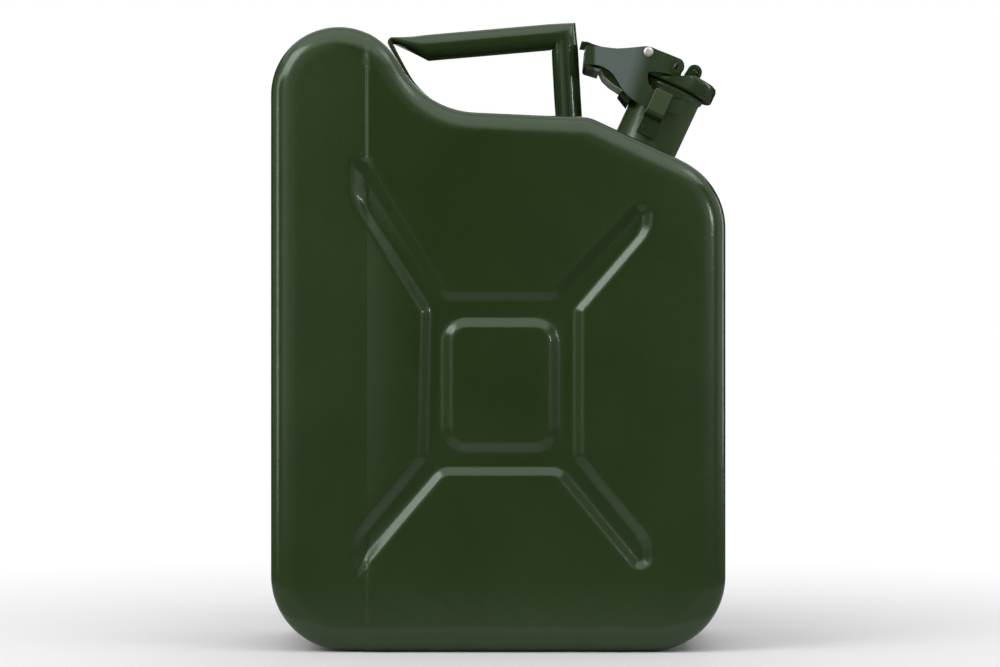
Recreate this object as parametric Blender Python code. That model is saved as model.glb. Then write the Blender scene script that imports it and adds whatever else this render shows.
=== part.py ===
"""Ten-litre pressed-steel fuel can with a lever closure, in metres, +Z up.

The can stands on Z = 0 and pours towards +X. Its two half shells meet at the seam plane Y = 0.
Pieces of the closure are drawn in the neck's own frame: u runs down the sloping shoulder,
w runs up the neck's axis and y stays across the can.
"""
import math

import bmesh
import bpy
from mathutils import Matrix, Vector
from mathutils.geometry import delaunay_2d_cdt

# Clearances
SEAT_GAP = 0.0003
PIN_GAP = 0.0003
SLIDE_GAP = 0.0006

# Can body, seen from the side
BODY_WIDTH = 0.280
BODY_DEPTH = 0.144
DOME_TOP = 0.3845
DOME_RADIUS = 0.042
SADDLE_SLOPE = math.radians(61)
SADDLE_RADIUS = 0.054
SHOULDER_RUN = 0.0836
DECK_DROP = 0.0560
DECK_SLOPE = math.radians(2.6)
DECK_END_RADIUS = 0.020
SHOULDER_SLOPE = math.radians(25)
SHOULDER_RADIUS = 0.0466
BASE_RADIUS = 0.046
DECK_END_X = BODY_WIDTH / 2 - SHOULDER_RUN
DECK_END_Z = DOME_TOP - DECK_DROP

# Pressed sheet of each half shell
SHEET = 0.0012
RIM_RADIUS = 0.011
GROOVE_DEPTH = 0.006
GROOVE_FLOOR = 0.0030
GROOVE_HALF_WIDTH = 0.0090
WELD_FLANGE_INSET = 0.0015
COLUMN_WIDTH = 0.057
COLUMN_EDGE_X = COLUMN_WIDTH - BODY_WIDTH / 2
COLUMN_TILT = math.radians(3.5)

# Stiffening channels pressed into each side, laid out on the middle of their walls
PANEL_X = 0.001
PANEL_RAISE = 0.00025
PANEL_Z = DECK_END_Z / 2 + PANEL_RAISE
RING_HALF_X = 0.0475
RING_HALF_Z = 0.0535
ARM_ROOT_X = 0.0355
ARM_ROOT_Z = 0.0450
ARM_MARGIN = 0.050
ARM_REACH = BODY_WIDTH / 2 - ARM_MARGIN
ARM_SLOPE_TOP_LEFT = math.radians(54.5)
ARM_SLOPE_TOP_RIGHT = math.radians(48.5)
ARM_SLOPE_BOTTOM = math.radians(51.5)
CHANNEL_DEPTH = 0.0035
CHANNEL_WALL = 0.0050
CHANNEL_CORNER = 0.0060
CHANNEL_TIP = 0.0045
ISLAND_HALF_X = 0.0300
ISLAND_HALF_Z = 0.0346
ISLAND_CORNER = 0.0090
ISLAND_WALL = 0.0062

# Carrying handle
GRIP_DIAMETER = 0.017
GRIP_SLOPE = math.radians(5)
LEG_RISE = 0.0568
LEG_BACK = 0.0112
HANDLE_CORNER_Z = DECK_END_Z + LEG_RISE
LEG_X = DECK_END_X - LEG_BACK
LEG_LEAN = math.radians(3.2)
MITRE_FULLNESS = 0.93
TONGUE_WIDTH = 0.024
TONGUE_THICKNESS = 0.0030
TONGUE_LENGTH = 0.022
TONGUE_ARC = math.radians(24)
HAIRPIN_RADIUS = 0.0018
PINCH_LENGTH = 0.022
FOOT_LENGTH = 0.026
FOOT_WIDTH = 0.036
FOOT_THICKNESS = 0.0020

# Neck
NECK_ALONG = 0.0393
NECK_RADIUS = 0.0206
NECK_WALL = 0.0012
NECK_HEIGHT = 0.0439
NECK_INSIDE = 0.006
LIP_BULGE = 0.0012
LIP_HEIGHT = 0.0040
COLLAR_WIDTH = 0.0052
COLLAR_THICKNESS = 0.0015
BREATHER_RADIUS = 0.0030
BREATHER_TOP = 0.034
BREATHER_DEPTH = 0.0150

# Keeper straps beside the neck
STRAP_THICKNESS = 0.0020
KEEPER_BACK = -0.0093
KEEPER_FRONT = 0.0024
KEEPER_FOOT = 0.0073
KEEPER_BEND = 0.0185
KEEPER_STEP = 0.0035
KEEPER_TOP = 0.0376

# Lid and its hinge
LID_RADIUS = 0.027
LID_RIM = 0.003
LID_SKIRT = 0.0018
LID_PLATE = 0.0015
LID_HEIGHT = 0.0107
LID_CUT_START = -0.0050
LID_CUT_SLOPE = math.radians(27)
GASKET_THICKNESS = 0.0016
GASKET_INNER = 0.0172
GASKET_OUTER = 0.0236
RETAINER_THICKNESS = 0.0014
RIVET_RADIUS = 0.0023
RIVET_HEAD = 0.0042
RIVET_HEAD_HEIGHT = 0.0014
ARM_HALF_WIDTH = 0.014
ARM_THICKNESS = 0.0022
ARM_TOP = NECK_HEIGHT + GASKET_THICKNESS + LID_PLATE + 3 * SEAT_GAP + ARM_THICKNESS
KNUCKLE_RADIUS = 0.0039
HINGE_U = -0.0315
HINGE_W = ARM_TOP - KNUCKLE_RADIUS
HINGE_PIN_RADIUS = 0.0020
CURL_RADIUS = 0.0048
CURL_U = 0.0086
CURL_W = 0.0580
BRACKET_FOOT = 0.0211
BRACKET_LIP_REACH = 0.0081
BRACKET_LIP_RISE = 0.0041

# Locking lever
PIVOT_U = -0.0042
PIVOT_W = 0.0550
PIVOT_TUBE_RADIUS = 0.0035
PIVOT_BORE = 0.0021
PIVOT_FLARE = 0.0046
LEVER_EYE = 0.0058
LEVER_PLATE = 0.0025
LEVER_INNER_HALF = 0.0223
LEVER_END_U = -0.0606
LEVER_END_TOP = 0.0434
LEVER_END_LOW_U = -0.0565
LEVER_END_LOW = 0.0319
LEVER_HEM_END = -0.0463
NOSE_U = 0.0094
NOSE_W = 0.0328
NOSE_RADIUS = 0.0049

# Finger latch inside the lever
LATCH_PIN_U = -0.0233
LATCH_PIN_W = 0.0560
LATCH_PIN_RADIUS = 0.0024
LATCH_PIN_HEAD = 0.0031
LATCH_HALF_WIDTH = 0.0195
LATCH_SHEET = 0.0017
LATCH_EYE = 0.0033
LATCH_LIP_END = -0.0644
SPRING_WIRE = 0.0006
SPRING_TURNS = 5
SPRING_PITCH = 0.0019

ROUND_SIDES = 24
NECK_SIDES = 40
ARC_STEP = math.radians(11)

GREEN = (0.026, 0.056, 0.020)
STEEL = (0.62, 0.62, 0.60)
RUBBER = (0.020, 0.020, 0.020)


def clear_scene():
    for old in list(bpy.data.objects):
        bpy.data.objects.remove(old, do_unlink=True)


def finish_material(name, colour, metallic, roughness):
    """One Principled material with plain values."""
    material = bpy.data.materials.new(name)
    material.use_nodes = True
    shader = material.node_tree.nodes["Principled BSDF"]
    shader.inputs["Base Color"].default_value = (*colour, 1.0)
    shader.inputs["Metallic"].default_value = metallic
    shader.inputs["Roughness"].default_value = roughness
    material.diffuse_color = (*colour, 1.0)
    return material


def painted(name):
    return finish_material(name + "_paint", GREEN, 0.0, 0.28)


def bare_steel(name):
    return finish_material(name + "_steel", STEEL, 1.0, 0.32)


def new_object(name, mesh_data, material=None, parent=None):
    """Turns a bmesh into a linked object with outward faces."""
    bmesh.ops.recalc_face_normals(mesh_data, faces=mesh_data.faces)
    mesh = bpy.data.meshes.new(name)
    mesh_data.to_mesh(mesh)
    mesh_data.free()
    mesh.shade_smooth()
    mesh.set_sharp_from_angle(angle=math.radians(30))
    made = bpy.data.objects.new(name, mesh)
    bpy.context.scene.collection.objects.link(made)
    if material:
        mesh.materials.append(material)
    if parent:
        made.parent = parent
    return made


def new_axis(name, location, parent=None, tilt=0.0):
    """An empty that stands on a joint's axis or in the neck's frame."""
    axis = bpy.data.objects.new(name, None)
    axis.empty_display_size = 0.01
    axis.location = location
    axis.rotation_euler = (0.0, tilt, 0.0)
    axis.parent = parent
    bpy.context.scene.collection.objects.link(axis)
    return axis


def combine(target, tool, operation):
    """Adds an exact Boolean and keeps its tool out of the model."""
    tool.hide_render = True
    tool.display_type = "WIRE"
    change = target.modifiers.new(operation.lower() + "_" + tool.name, "BOOLEAN")
    change.operation = operation
    change.object = tool
    change.solver = "EXACT"


def cut(target, tool):
    combine(target, tool, "DIFFERENCE")


def join(target, tool):
    combine(target, tool, "UNION")


def meet(point, angle, other, other_angle):
    """Where two lines cross, each given by a point and a heading."""
    ax, az = math.cos(angle), math.sin(angle)
    bx, bz = math.cos(other_angle), math.sin(other_angle)
    along = ((other[0] - point[0]) * bz - (other[1] - point[1]) * bx) / (ax * bz - az * bx)
    return (point[0] + ax * along, point[1] + az * along)


def arc(centre, radius, start, end, steps):
    """Points along an arc, angles in radians, both ends included."""
    return [(centre[0] + radius * math.cos(start + (end - start) * i / steps),
             centre[1] + radius * math.sin(start + (end - start) * i / steps)) for i in range(steps + 1)]


def turned_left(corners):
    """True where a closed outline runs anticlockwise."""
    area = sum(a[0] * b[1] - b[0] * a[1] for a, b in zip(corners, corners[1:] + corners[:1]))
    return area > 0


def inset(corners, distance):
    """Moves every side of a cornered outline inwards; corners are (x, z, fillet radius)."""
    side = 1.0 if turned_left(corners) else -1.0
    moved = []
    for i, (x, z, radius) in enumerate(corners):
        before = corners[i - 1]
        after = corners[(i + 1) % len(corners)]
        a = Vector((x - before[0], z - before[1])).normalized()
        b = Vector((after[0] - x, after[1] - z)).normalized()
        turn = a.cross(b) * side
        in_a = Vector((-a.y, a.x)) * side
        in_b = Vector((-b.y, b.x)) * side
        middle = (in_a + in_b) / (1.0 + in_a.dot(in_b))
        spot = Vector((x, z)) + middle * distance
        moved.append((spot.x, spot.y, radius - distance if turn > 0 else radius + distance))
    return moved


def rounded(corners, stops=()):
    """Points of a cornered outline with its fillets; stops adds points at x along the base."""
    points = []
    for i, (x, z, radius) in enumerate(corners):
        before = Vector(corners[i - 1][:2])
        after = Vector(corners[(i + 1) % len(corners)][:2])
        spot = Vector((x, z))
        a = (spot - before).normalized()
        b = (after - spot).normalized()
        turn = math.atan2(a.cross(b), a.dot(b))
        if radius <= 0.0:
            points.append((x, z))
        else:
            back = radius * math.tan(abs(turn) / 2)
            side = 1.0 if turn > 0 else -1.0
            start = spot - a * back
            centre = start + Vector((-a.y, a.x)) * side * radius
            first = math.atan2(start.y - centre.y, start.x - centre.x)
            steps = max(2, math.ceil(abs(turn) / ARC_STEP))
            points += arc(centre, radius, first, first + turn, steps)
        for stop in stops:
            if b.x < -0.999 and after.x < stop < x:
                points.append((stop, z))
    return [p for i, p in enumerate(points) if math.dist(p, points[i - 1]) > 1e-6]


def prism(outline, half_width, offset=(0.0, 0.0), low=None):
    """Extrudes an outline in the X-Z plane across y, from -half_width or low to half_width."""
    low = -half_width if low is None else low
    made = bmesh.new()
    near = [made.verts.new((x - offset[0], low, z - offset[1])) for x, z in outline]
    far = [made.verts.new((x - offset[0], half_width, z - offset[1])) for x, z in outline]
    made.faces.new(near)
    made.faces.new(reversed(far))
    for i in range(len(outline)):
        j = (i + 1) % len(outline)
        made.faces.new((near[i], far[i], far[j], near[j]))
    return made


def lathe(profile, sides, offset=(0.0, 0.0), closed=False):
    """Turns (radius, height) points about the upright axis; closed joins the last to the first."""
    made = bmesh.new()
    rings = []
    for radius, height in profile:
        if radius < 1e-6:
            rings.append([made.verts.new((-offset[0], 0.0, height - offset[1]))])
            continue
        ring = []
        for k in range(sides):
            angle = 2 * math.pi * k / sides
            x, y = radius * math.cos(angle), radius * math.sin(angle)
            ring.append(made.verts.new((x - offset[0], y, height - offset[1])))
        rings.append(ring)
    pairs = list(zip(rings, rings[1:]))
    if closed:
        pairs.append((rings[-1], rings[0]))
    for lower, upper in pairs:
        bridge(made, lower, upper)
    return made


def bridge(made, lower, upper):
    """Joins two rings of one count, or a ring and a pole."""
    count = max(len(lower), len(upper))
    if count == 1:
        return
    for i in range(count):
        j = (i + 1) % count
        if len(lower) == 1:
            made.faces.new((lower[0], upper[j], upper[i]))
        elif len(upper) == 1:
            made.faces.new((lower[i], lower[j], upper[0]))
        else:
            made.faces.new((lower[i], lower[j], upper[j], upper[i]))


def across(profile, sides=ROUND_SIDES):
    """Turns (radius, y) points about the cross axis y through the origin."""
    made = lathe(profile, sides)
    bmesh.ops.rotate(made, verts=made.verts, cent=(0, 0, 0), matrix=Matrix.Rotation(-math.pi / 2, 3, "X"))
    return made


def rod_across(radius, half_length, sides=ROUND_SIDES):
    return across([(0, -half_length), (radius, -half_length), (radius, half_length), (0, half_length)], sides)


def body_corners():
    """The can's side outline as corners with fillet radii, clockwise from the lower rear."""
    half = BODY_WIDTH / 2
    dome_end = (-half + DOME_RADIUS + DOME_RADIUS * math.tan(SADDLE_SLOPE / 2), DOME_TOP)
    deck_end = (DECK_END_X, DECK_END_Z)
    saddle = meet(dome_end, -SADDLE_SLOPE, deck_end, math.pi - DECK_SLOPE)
    shoulder = meet(deck_end, -SHOULDER_SLOPE, (half, 0.0), math.pi / 2)
    return [(-half, 0.0, BASE_RADIUS), (-half, DOME_TOP, DOME_RADIUS), (*dome_end, DOME_RADIUS),
            (*saddle, SADDLE_RADIUS), (*deck_end, DECK_END_RADIUS), (*shoulder, SHOULDER_RADIUS),
            (half, 0.0, BASE_RADIUS)]


def channel_corners():
    """Wall middles of the ring channel and its four arms, clockwise from the ring's top left."""
    def tip(root_x, root_z, side, slope):
        reach = side * ARM_REACH
        return (reach, root_z + math.tan(slope) * abs(reach - root_x), CHANNEL_TIP)

    left, right = PANEL_X - ARM_ROOT_X, PANEL_X + ARM_ROOT_X
    ring_left, ring_right = PANEL_X - RING_HALF_X, PANEL_X + RING_HALF_X
    top, bottom = PANEL_Z + RING_HALF_Z, PANEL_Z - RING_HALF_Z
    high, low = PANEL_Z + ARM_ROOT_Z, PANEL_Z - ARM_ROOT_Z
    bend = CHANNEL_CORNER
    return [(left, top, bend), (right, top, bend), tip(right, top, 1, ARM_SLOPE_TOP_RIGHT),
            tip(ring_right, high, 1, ARM_SLOPE_TOP_RIGHT), (ring_right, high, bend), (ring_right, low, bend),
            tip(ring_right, low, 1, -ARM_SLOPE_BOTTOM), tip(right, bottom, 1, -ARM_SLOPE_BOTTOM),
            (right, bottom, bend), (left, bottom, bend), tip(left, bottom, -1, -ARM_SLOPE_BOTTOM),
            tip(ring_left, low, -1, -ARM_SLOPE_BOTTOM), (ring_left, low, bend), (ring_left, high, bend),
            tip(ring_left, high, -1, ARM_SLOPE_TOP_LEFT), tip(left, top, -1, ARM_SLOPE_TOP_LEFT)]


def island_corners():
    """The raised square inside the ring channel, at its flat top."""
    return [(PANEL_X + sx * ISLAND_HALF_X, PANEL_Z + sz * ISLAND_HALF_Z, ISLAND_CORNER)
            for sx, sz in ((-1, 1), (1, 1), (1, -1), (-1, -1))]


def distance_inside(point, loop):
    """Distance from a point to a closed loop, negative where the point is outside it."""
    inside = False
    nearest = math.inf
    px, pz = point
    for (ax, az), (bx, bz) in zip(loop, loop[1:] + loop[:1]):
        dx, dz = bx - ax, bz - az
        length = dx * dx + dz * dz
        t = 0.0 if length == 0.0 else max(0.0, min(1.0, ((px - ax) * dx + (pz - az) * dz) / length))
        nearest = min(nearest, math.hypot(px - ax - t * dx, pz - az - t * dz))
        if (az > pz) != (bz > pz) and px < ax + (pz - az) / (bz - az) * dx:
            inside = not inside
    return nearest if inside else -nearest


def column_share(x):
    """How much of the half depth is left where the rear column leans back."""
    lean = max(0.0, COLUMN_EDGE_X - x) * math.tan(COLUMN_TILT)
    return 1.0 - lean / (BODY_DEPTH / 2)


def wall_section():
    """Outer and inner points of a shell's wall, each (inset, distance from the seam plane)."""
    half = BODY_DEPTH / 2
    seam = SEAT_GAP / 2
    turn_start = half - RIM_RADIUS
    lip = GROOVE_HALF_WIDTH - GROOVE_FLOOR
    outer = [(WELD_FLANGE_INSET, seam), (WELD_FLANGE_INSET, seam + SHEET), (GROOVE_DEPTH, seam + SHEET),
             (GROOVE_DEPTH, GROOVE_FLOOR), (GROOVE_DEPTH * 0.75, GROOVE_FLOOR + lip * 0.2),
             (GROOVE_DEPTH * 0.25, GROOVE_FLOOR + lip * 0.45), (GROOVE_DEPTH * 0.06, GROOVE_FLOOR + lip * 0.7),
             (0.0, GROOVE_HALF_WIDTH)]
    outer += [(RIM_RADIUS - d, z) for d, z in arc((0.0, turn_start), RIM_RADIUS, 0.0, math.pi / 2, 5)]
    inner_radius = RIM_RADIUS - SHEET
    inner = [(RIM_RADIUS - d, z) for d, z in arc((0.0, turn_start), inner_radius, math.pi / 2, 0.0, 5)]
    inner += [(SHEET, GROOVE_HALF_WIDTH + SHEET / 2), (GROOVE_DEPTH * 0.3 + SHEET, GROOVE_FLOOR + lip * 0.55),
              (GROOVE_DEPTH + SHEET, GROOVE_FLOOR + SHEET / 2), (GROOVE_DEPTH + SHEET, seam)]
    return outer, inner


def face_mesh(made, boundary, depth_of, ring):
    """Fills a shell's side with the pressed channels, sharing the ring's vertices."""
    walls = channel_corners()
    loops = [rounded(inset(walls, -CHANNEL_WALL / 2)), rounded(inset(walls, CHANNEL_WALL / 2)),
             rounded(inset(island_corners(), -ISLAND_WALL)), rounded(island_corners())]
    points = list(boundary)
    edges = [(i, (i + 1) % len(points)) for i in range(len(points))]
    for loop in loops:
        first = len(points)
        points += loop
        edges += [(first + i, first + (i + 1) % len(loop)) for i in range(len(loop))]
    on_edge = [i for i, p in enumerate(boundary) if abs(p[0] - COLUMN_EDGE_X) < 1e-5]
    dome = min(range(len(boundary)), key=lambda i: math.dist(boundary[i], (COLUMN_EDGE_X, DOME_TOP)))
    edges.append((on_edge[0], dome))
    flat = [Vector(p) for p in points]
    spots, _, faces, sources, _, _ = delaunay_2d_cdt(flat, edges, [], 1, 1e-7)
    verts = []
    for spot, source in zip(spots, sources):
        shared = [s for s in source if s < len(ring)]
        verts.append(ring[shared[0]] if shared else made.verts.new(depth_of(spot.x, spot.y)))
    for face in faces:
        made.faces.new([verts[i] for i in face])


def pressed_depth(x, z, opening, island):
    """How deep the channels are pressed at a point of the side."""
    into_channel = max(0.0, min(1.0, distance_inside((x, z), opening) / CHANNEL_WALL))
    off_island = max(0.0, min(1.0, -distance_inside((x, z), island) / ISLAND_WALL))
    return CHANNEL_DEPTH * min(into_channel, off_island)


def half_shell(name, side, neck_hole):
    """One deep-drawn half of the can; side is -1 at the front and 1 at the back."""
    corners = body_corners()
    opening = rounded(inset(channel_corners(), -CHANNEL_WALL / 2))
    island = rounded(island_corners())
    outer, inner = wall_section()
    made = bmesh.new()

    def ring_at(distance, depth):
        outline = rounded(inset(corners, distance), (COLUMN_EDGE_X,))
        share = [column_share(x) if depth > GROOVE_HALF_WIDTH + SHEET else 1.0 for x, _ in outline]
        ring = [made.verts.new((x, side * depth * s, z)) for (x, z), s in zip(outline, share)]
        return outline, ring

    def face_depth(full_depth):
        def depth_of(x, z):
            pressed = full_depth - pressed_depth(x, z, opening, island)
            return (x, side * pressed * column_share(x), z)
        return depth_of

    rings = [ring_at(*point) for point in outer + inner]
    for (_, lower), (_, upper) in zip(rings, rings[1:] + rings[:1]):
        if upper is not rings[len(outer)][1]:
            bridge(made, lower, upper)
    face_mesh(made, rings[len(outer) - 1][0], face_depth(outer[-1][1]), rings[len(outer) - 1][1])
    face_mesh(made, rings[len(outer)][0], face_depth(inner[0][1]), rings[len(outer)][1])
    shell = new_object(name, made, painted(name))
    cut(shell, neck_hole)
    return shell


def shoulder_point(along):
    """A point on the shoulder line, measured from the end of the deck."""
    return (DECK_END_X + along * math.cos(SHOULDER_SLOPE), DECK_END_Z - along * math.sin(SHOULDER_SLOPE))


def saddle_centre():
    """Centre of the hollow arc between the dome and the deck."""
    corners = body_corners()
    before, spot, after = (Vector(corners[i][:2]) for i in (2, 3, 4))
    a = (spot - before).normalized()
    b = (after - spot).normalized()
    start = spot - a * SADDLE_RADIUS * math.tan(a.angle(b) / 2)
    return start + Vector((-a.y, a.x)) * SADDLE_RADIUS, a


def handle_stations():
    """Centre, heading, half width and half height along the handle, tongue first."""
    centre, steep = saddle_centre()
    ride = SADDLE_RADIUS - SEAT_GAP - TONGUE_THICKNESS / 2
    normal_angle = math.atan2(-steep.x, steep.y)
    flat = (TONGUE_WIDTH / 2, TONGUE_THICKNESS / 2)
    round_half = GRIP_DIAMETER / 2
    stations = []
    for i in range(4):
        angle = normal_angle + TONGUE_ARC * (1 - i / 3)
        spot = centre + Vector((math.cos(angle), math.sin(angle))) * ride
        stations.append((spot, angle - math.pi / 2, *flat))
    rise = math.atan2(-steep.y, -steep.x)
    top = stations[-1][0] - steep * TONGUE_LENGTH
    stations.append((top, rise, *flat))
    pivot = top + Vector((math.cos(rise - math.pi / 2), math.sin(rise - math.pi / 2))) * HAIRPIN_RADIUS
    for i in range(1, 6):
        heading = rise + (GRIP_SLOPE - rise) * i / 5
        spot = pivot + Vector((math.cos(heading + math.pi / 2), math.sin(heading + math.pi / 2))) * HAIRPIN_RADIUS
        stations.append((spot, heading, *flat))
    corner = Vector((LEG_X - (HANDLE_CORNER_Z - DECK_END_Z) * math.tan(LEG_LEAN), HANDLE_CORNER_Z))
    pinch = stations[-1][0]
    full_x = pinch.x + PINCH_LENGTH
    full = Vector((full_x, corner.y - (corner.x - full_x) * math.tan(GRIP_SLOPE)))
    for i in range(1, 6):
        t = i / 5
        ease = t * t * (3 - 2 * t)
        width = flat[0] + (round_half - flat[0]) * ease
        height = flat[1] + (round_half - flat[1]) * t
        top_edge = (pinch.y + flat[1]) * (1 - t) + (full.y + round_half) * t
        stations.append((Vector((pinch.x + PINCH_LENGTH * t, top_edge - height)), GRIP_SLOPE, width, height))
    down = -math.pi / 2 + LEG_LEAN
    mitre = round_half / math.cos((GRIP_SLOPE - down) / 2) * MITRE_FULLNESS
    stations.append((corner, (GRIP_SLOPE + down) / 2, round_half, mitre))
    foot = Vector((LEG_X, deck_height(LEG_X) + 2 * SEAT_GAP + FOOT_THICKNESS))
    stations.append((foot, -math.pi / 2 - DECK_SLOPE, round_half, round_half))
    return stations


def deck_height(x):
    return DECK_END_Z + (DECK_END_X - x) * math.tan(DECK_SLOPE)


def handle():
    """One bent tube: round grip and front leg, pinched flat into a tongue at the rear."""
    made = bmesh.new()
    rings = []
    sides = 20
    for spot, heading, half_width, half_height in handle_stations():
        normal = Vector((-math.sin(heading), 0.0, math.cos(heading)))
        square = 0.55 if half_height < TONGUE_THICKNESS else 1.0
        ring = []
        for k in range(sides):
            angle = 2 * math.pi * k / sides
            c, s = math.cos(angle), math.sin(angle)
            across_y = half_width * math.copysign(abs(c) ** square, c)
            out = normal * half_height * math.copysign(abs(s) ** square, s)
            ring.append(made.verts.new((spot.x + out.x, across_y, spot.y + out.z)))
        rings.append(ring)
    for lower, upper in zip(rings, rings[1:]):
        bridge(made, lower, upper)
    made.faces.new(rings[0])
    made.faces.new(reversed(rings[-1]))
    return new_object("handle", made, painted("handle"))


def handle_foot():
    """Plate that carries the handle's front leg across the seam groove."""
    half = FOOT_LENGTH / 2
    middle = LEG_X - 0.0015
    low = [(middle + s * half, deck_height(middle + s * half) + SEAT_GAP) for s in (-1, 1)]
    outline = low + [(x, z + FOOT_THICKNESS) for x, z in reversed(low)]
    return new_object("handle_foot", prism(outline, FOOT_WIDTH / 2), painted("handle_foot"))


def neck_tube(frame):
    """The pouring neck with its rolled lip."""
    inner = NECK_RADIUS - NECK_WALL
    lip = NECK_HEIGHT - LIP_HEIGHT
    profile = [(inner, -NECK_INSIDE), (NECK_RADIUS, -NECK_INSIDE), (NECK_RADIUS, lip - 0.0010),
               (NECK_RADIUS + LIP_BULGE * 0.7, lip), (NECK_RADIUS + LIP_BULGE, lip + LIP_HEIGHT * 0.4),
               (NECK_RADIUS + LIP_BULGE * 0.7, NECK_HEIGHT - LIP_HEIGHT * 0.15), (NECK_RADIUS, NECK_HEIGHT),
               (inner + NECK_WALL * 0.3, NECK_HEIGHT - LIP_HEIGHT * 0.1), (inner, NECK_HEIGHT - LIP_HEIGHT * 0.4)]
    return new_object("neck_tube", lathe(profile, NECK_SIDES, closed=True), painted("neck_tube"), frame)


def neck_collar(frame):
    """Welded ring that seats the neck on the shoulder."""
    inner = NECK_RADIUS + SEAT_GAP
    outer = inner + COLLAR_WIDTH
    low, high = SEAT_GAP, SEAT_GAP + COLLAR_THICKNESS
    profile = [(inner, low), (outer, low), (outer, low + COLLAR_THICKNESS * 0.4),
               (outer - 0.002, high), (inner, high)]
    return new_object("neck_collar", lathe(profile, NECK_SIDES, closed=True), painted("neck_collar"), frame)


def breather_route():
    """Centre line of the air pipe from the neck, under the deck and up into the dome."""
    def from_neck(u, w):
        foot = shoulder_point(NECK_ALONG)
        c, s = math.cos(SHOULDER_SLOPE), math.sin(SHOULDER_SLOPE)
        return Vector((foot[0] + u * c + w * s, foot[1] - u * s + w * c))

    wall = -(NECK_RADIUS - NECK_WALL - SEAT_GAP - BREATHER_RADIUS)
    centre, _ = saddle_centre()
    sweep = SADDLE_RADIUS + BREATHER_DEPTH
    below = NECK_INSIDE + BREATHER_RADIUS / 2
    route = [from_neck(wall, BREATHER_TOP), from_neck(wall, 0.010), from_neck(wall, -below),
             from_neck(wall - 0.003, -below - 0.004), from_neck(wall - 0.012, -below - 0.009)]
    route += [Vector((x, deck_height(x) - BREATHER_DEPTH)) for x in (0.040, 0.015)]
    for i in range(7):
        angle = math.radians(268 - 11 * i)
        route.append(centre + Vector((math.cos(angle), math.sin(angle))) * sweep)
    dome_x = -BODY_WIDTH / 2 + DOME_RADIUS
    route += [Vector((dome_x + 0.012, DOME_TOP - 0.020)), Vector((dome_x, DOME_TOP - 0.015))]
    return route


def breather_tube():
    """Air pipe that lets the can pour smoothly."""
    route = breather_route()
    made = bmesh.new()
    rings = []
    sides = 10
    for i, spot in enumerate(route):
        before = route[max(0, i - 1)]
        after = route[min(len(route) - 1, i + 1)]
        heading = (after - before).normalized()
        normal = Vector((-heading.y, 0.0, heading.x))
        ring = []
        for k in range(sides):
            angle = 2 * math.pi * k / sides
            out = normal * BREATHER_RADIUS * math.cos(angle)
            ring.append(made.verts.new((spot.x + out.x, BREATHER_RADIUS * math.sin(angle), spot.y + out.z)))
        rings.append(ring)
    for lower, upper in zip(rings, rings[1:]):
        bridge(made, lower, upper)
    made.faces.new(rings[0])
    made.faces.new(reversed(rings[-1]))
    return new_object("breather_tube", made, bare_steel("breather_tube"))


def keeper(name, side, frame):
    """Strap welded to the neck's flank; the lever's nose slides behind its raised plate."""
    foot_in = NECK_RADIUS + SEAT_GAP
    foot_out = foot_in + STRAP_THICKNESS
    plate_in = LEVER_INNER_HALF + LEVER_PLATE + SLIDE_GAP
    plate_out = plate_in + STRAP_THICKNESS
    section = [(foot_in, KEEPER_FOOT), (foot_out, KEEPER_FOOT), (foot_out, KEEPER_BEND),
               (plate_out, KEEPER_BEND + KEEPER_STEP - STRAP_THICKNESS * 0.5), (plate_out, KEEPER_TOP),
               (plate_in, KEEPER_TOP), (plate_in, KEEPER_BEND + KEEPER_STEP + STRAP_THICKNESS * 0.4),
               (foot_in, KEEPER_BEND + STRAP_THICKNESS * 0.9)]
    made = bmesh.new()
    back = [made.verts.new((KEEPER_BACK, side * y, w)) for y, w in section]
    front = [made.verts.new((KEEPER_FRONT, side * y, w)) for y, w in section]
    made.faces.new(back)
    made.faces.new(reversed(front))
    bridge(made, back, front)
    return new_object(name, made, painted(name), frame)


def hinge_bracket(frame):
    """Cradle on the handle side of the neck whose two ears carry the lid's hinge pin."""
    back = -(NECK_RADIUS + SEAT_GAP)
    ear_in = ARM_HALF_WIDTH + PIN_GAP
    ear_out = ear_in + STRAP_THICKNESS
    eye = HINGE_PIN_RADIUS + STRAP_THICKNESS
    top = NECK_HEIGHT - LIP_HEIGHT - 0.0012
    outline = [(back, BRACKET_FOOT), (back - BRACKET_LIP_REACH, BRACKET_FOOT + BRACKET_LIP_RISE),
               (back - BRACKET_LIP_REACH + 0.0006, BRACKET_FOOT + BRACKET_LIP_RISE + 0.0014),
               (back - 0.0030, BRACKET_FOOT + BRACKET_LIP_RISE + 0.0006), (back - 0.0036, 0.0290),
               (HINGE_U - 0.0012, HINGE_W - eye * 0.95)]
    outline += arc((HINGE_U, HINGE_W), eye, math.radians(205), math.radians(-40), 10)[1:]
    outline += [(back, top)]
    made = new_object("hinge_bracket", prism(outline, ear_out), painted("hinge_bracket"), frame)
    slot_left, slot_right = HINGE_U - 2 * eye, back - STRAP_THICKNESS
    slot = [(slot_left, BRACKET_FOOT + BRACKET_LIP_RISE + 0.0026), (slot_right, 0.0285), (slot_right, 0.060),
            (slot_left, 0.060)]
    cut(made, new_object("bracket_slot", prism(slot, ear_in), parent=frame))
    bore = new_object("bracket_bore", rod_across(HINGE_PIN_RADIUS + PIN_GAP, 2 * ear_out), parent=frame)
    bore.location = (HINGE_U, 0.0, HINGE_W)
    cut(made, bore)
    return made


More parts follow.
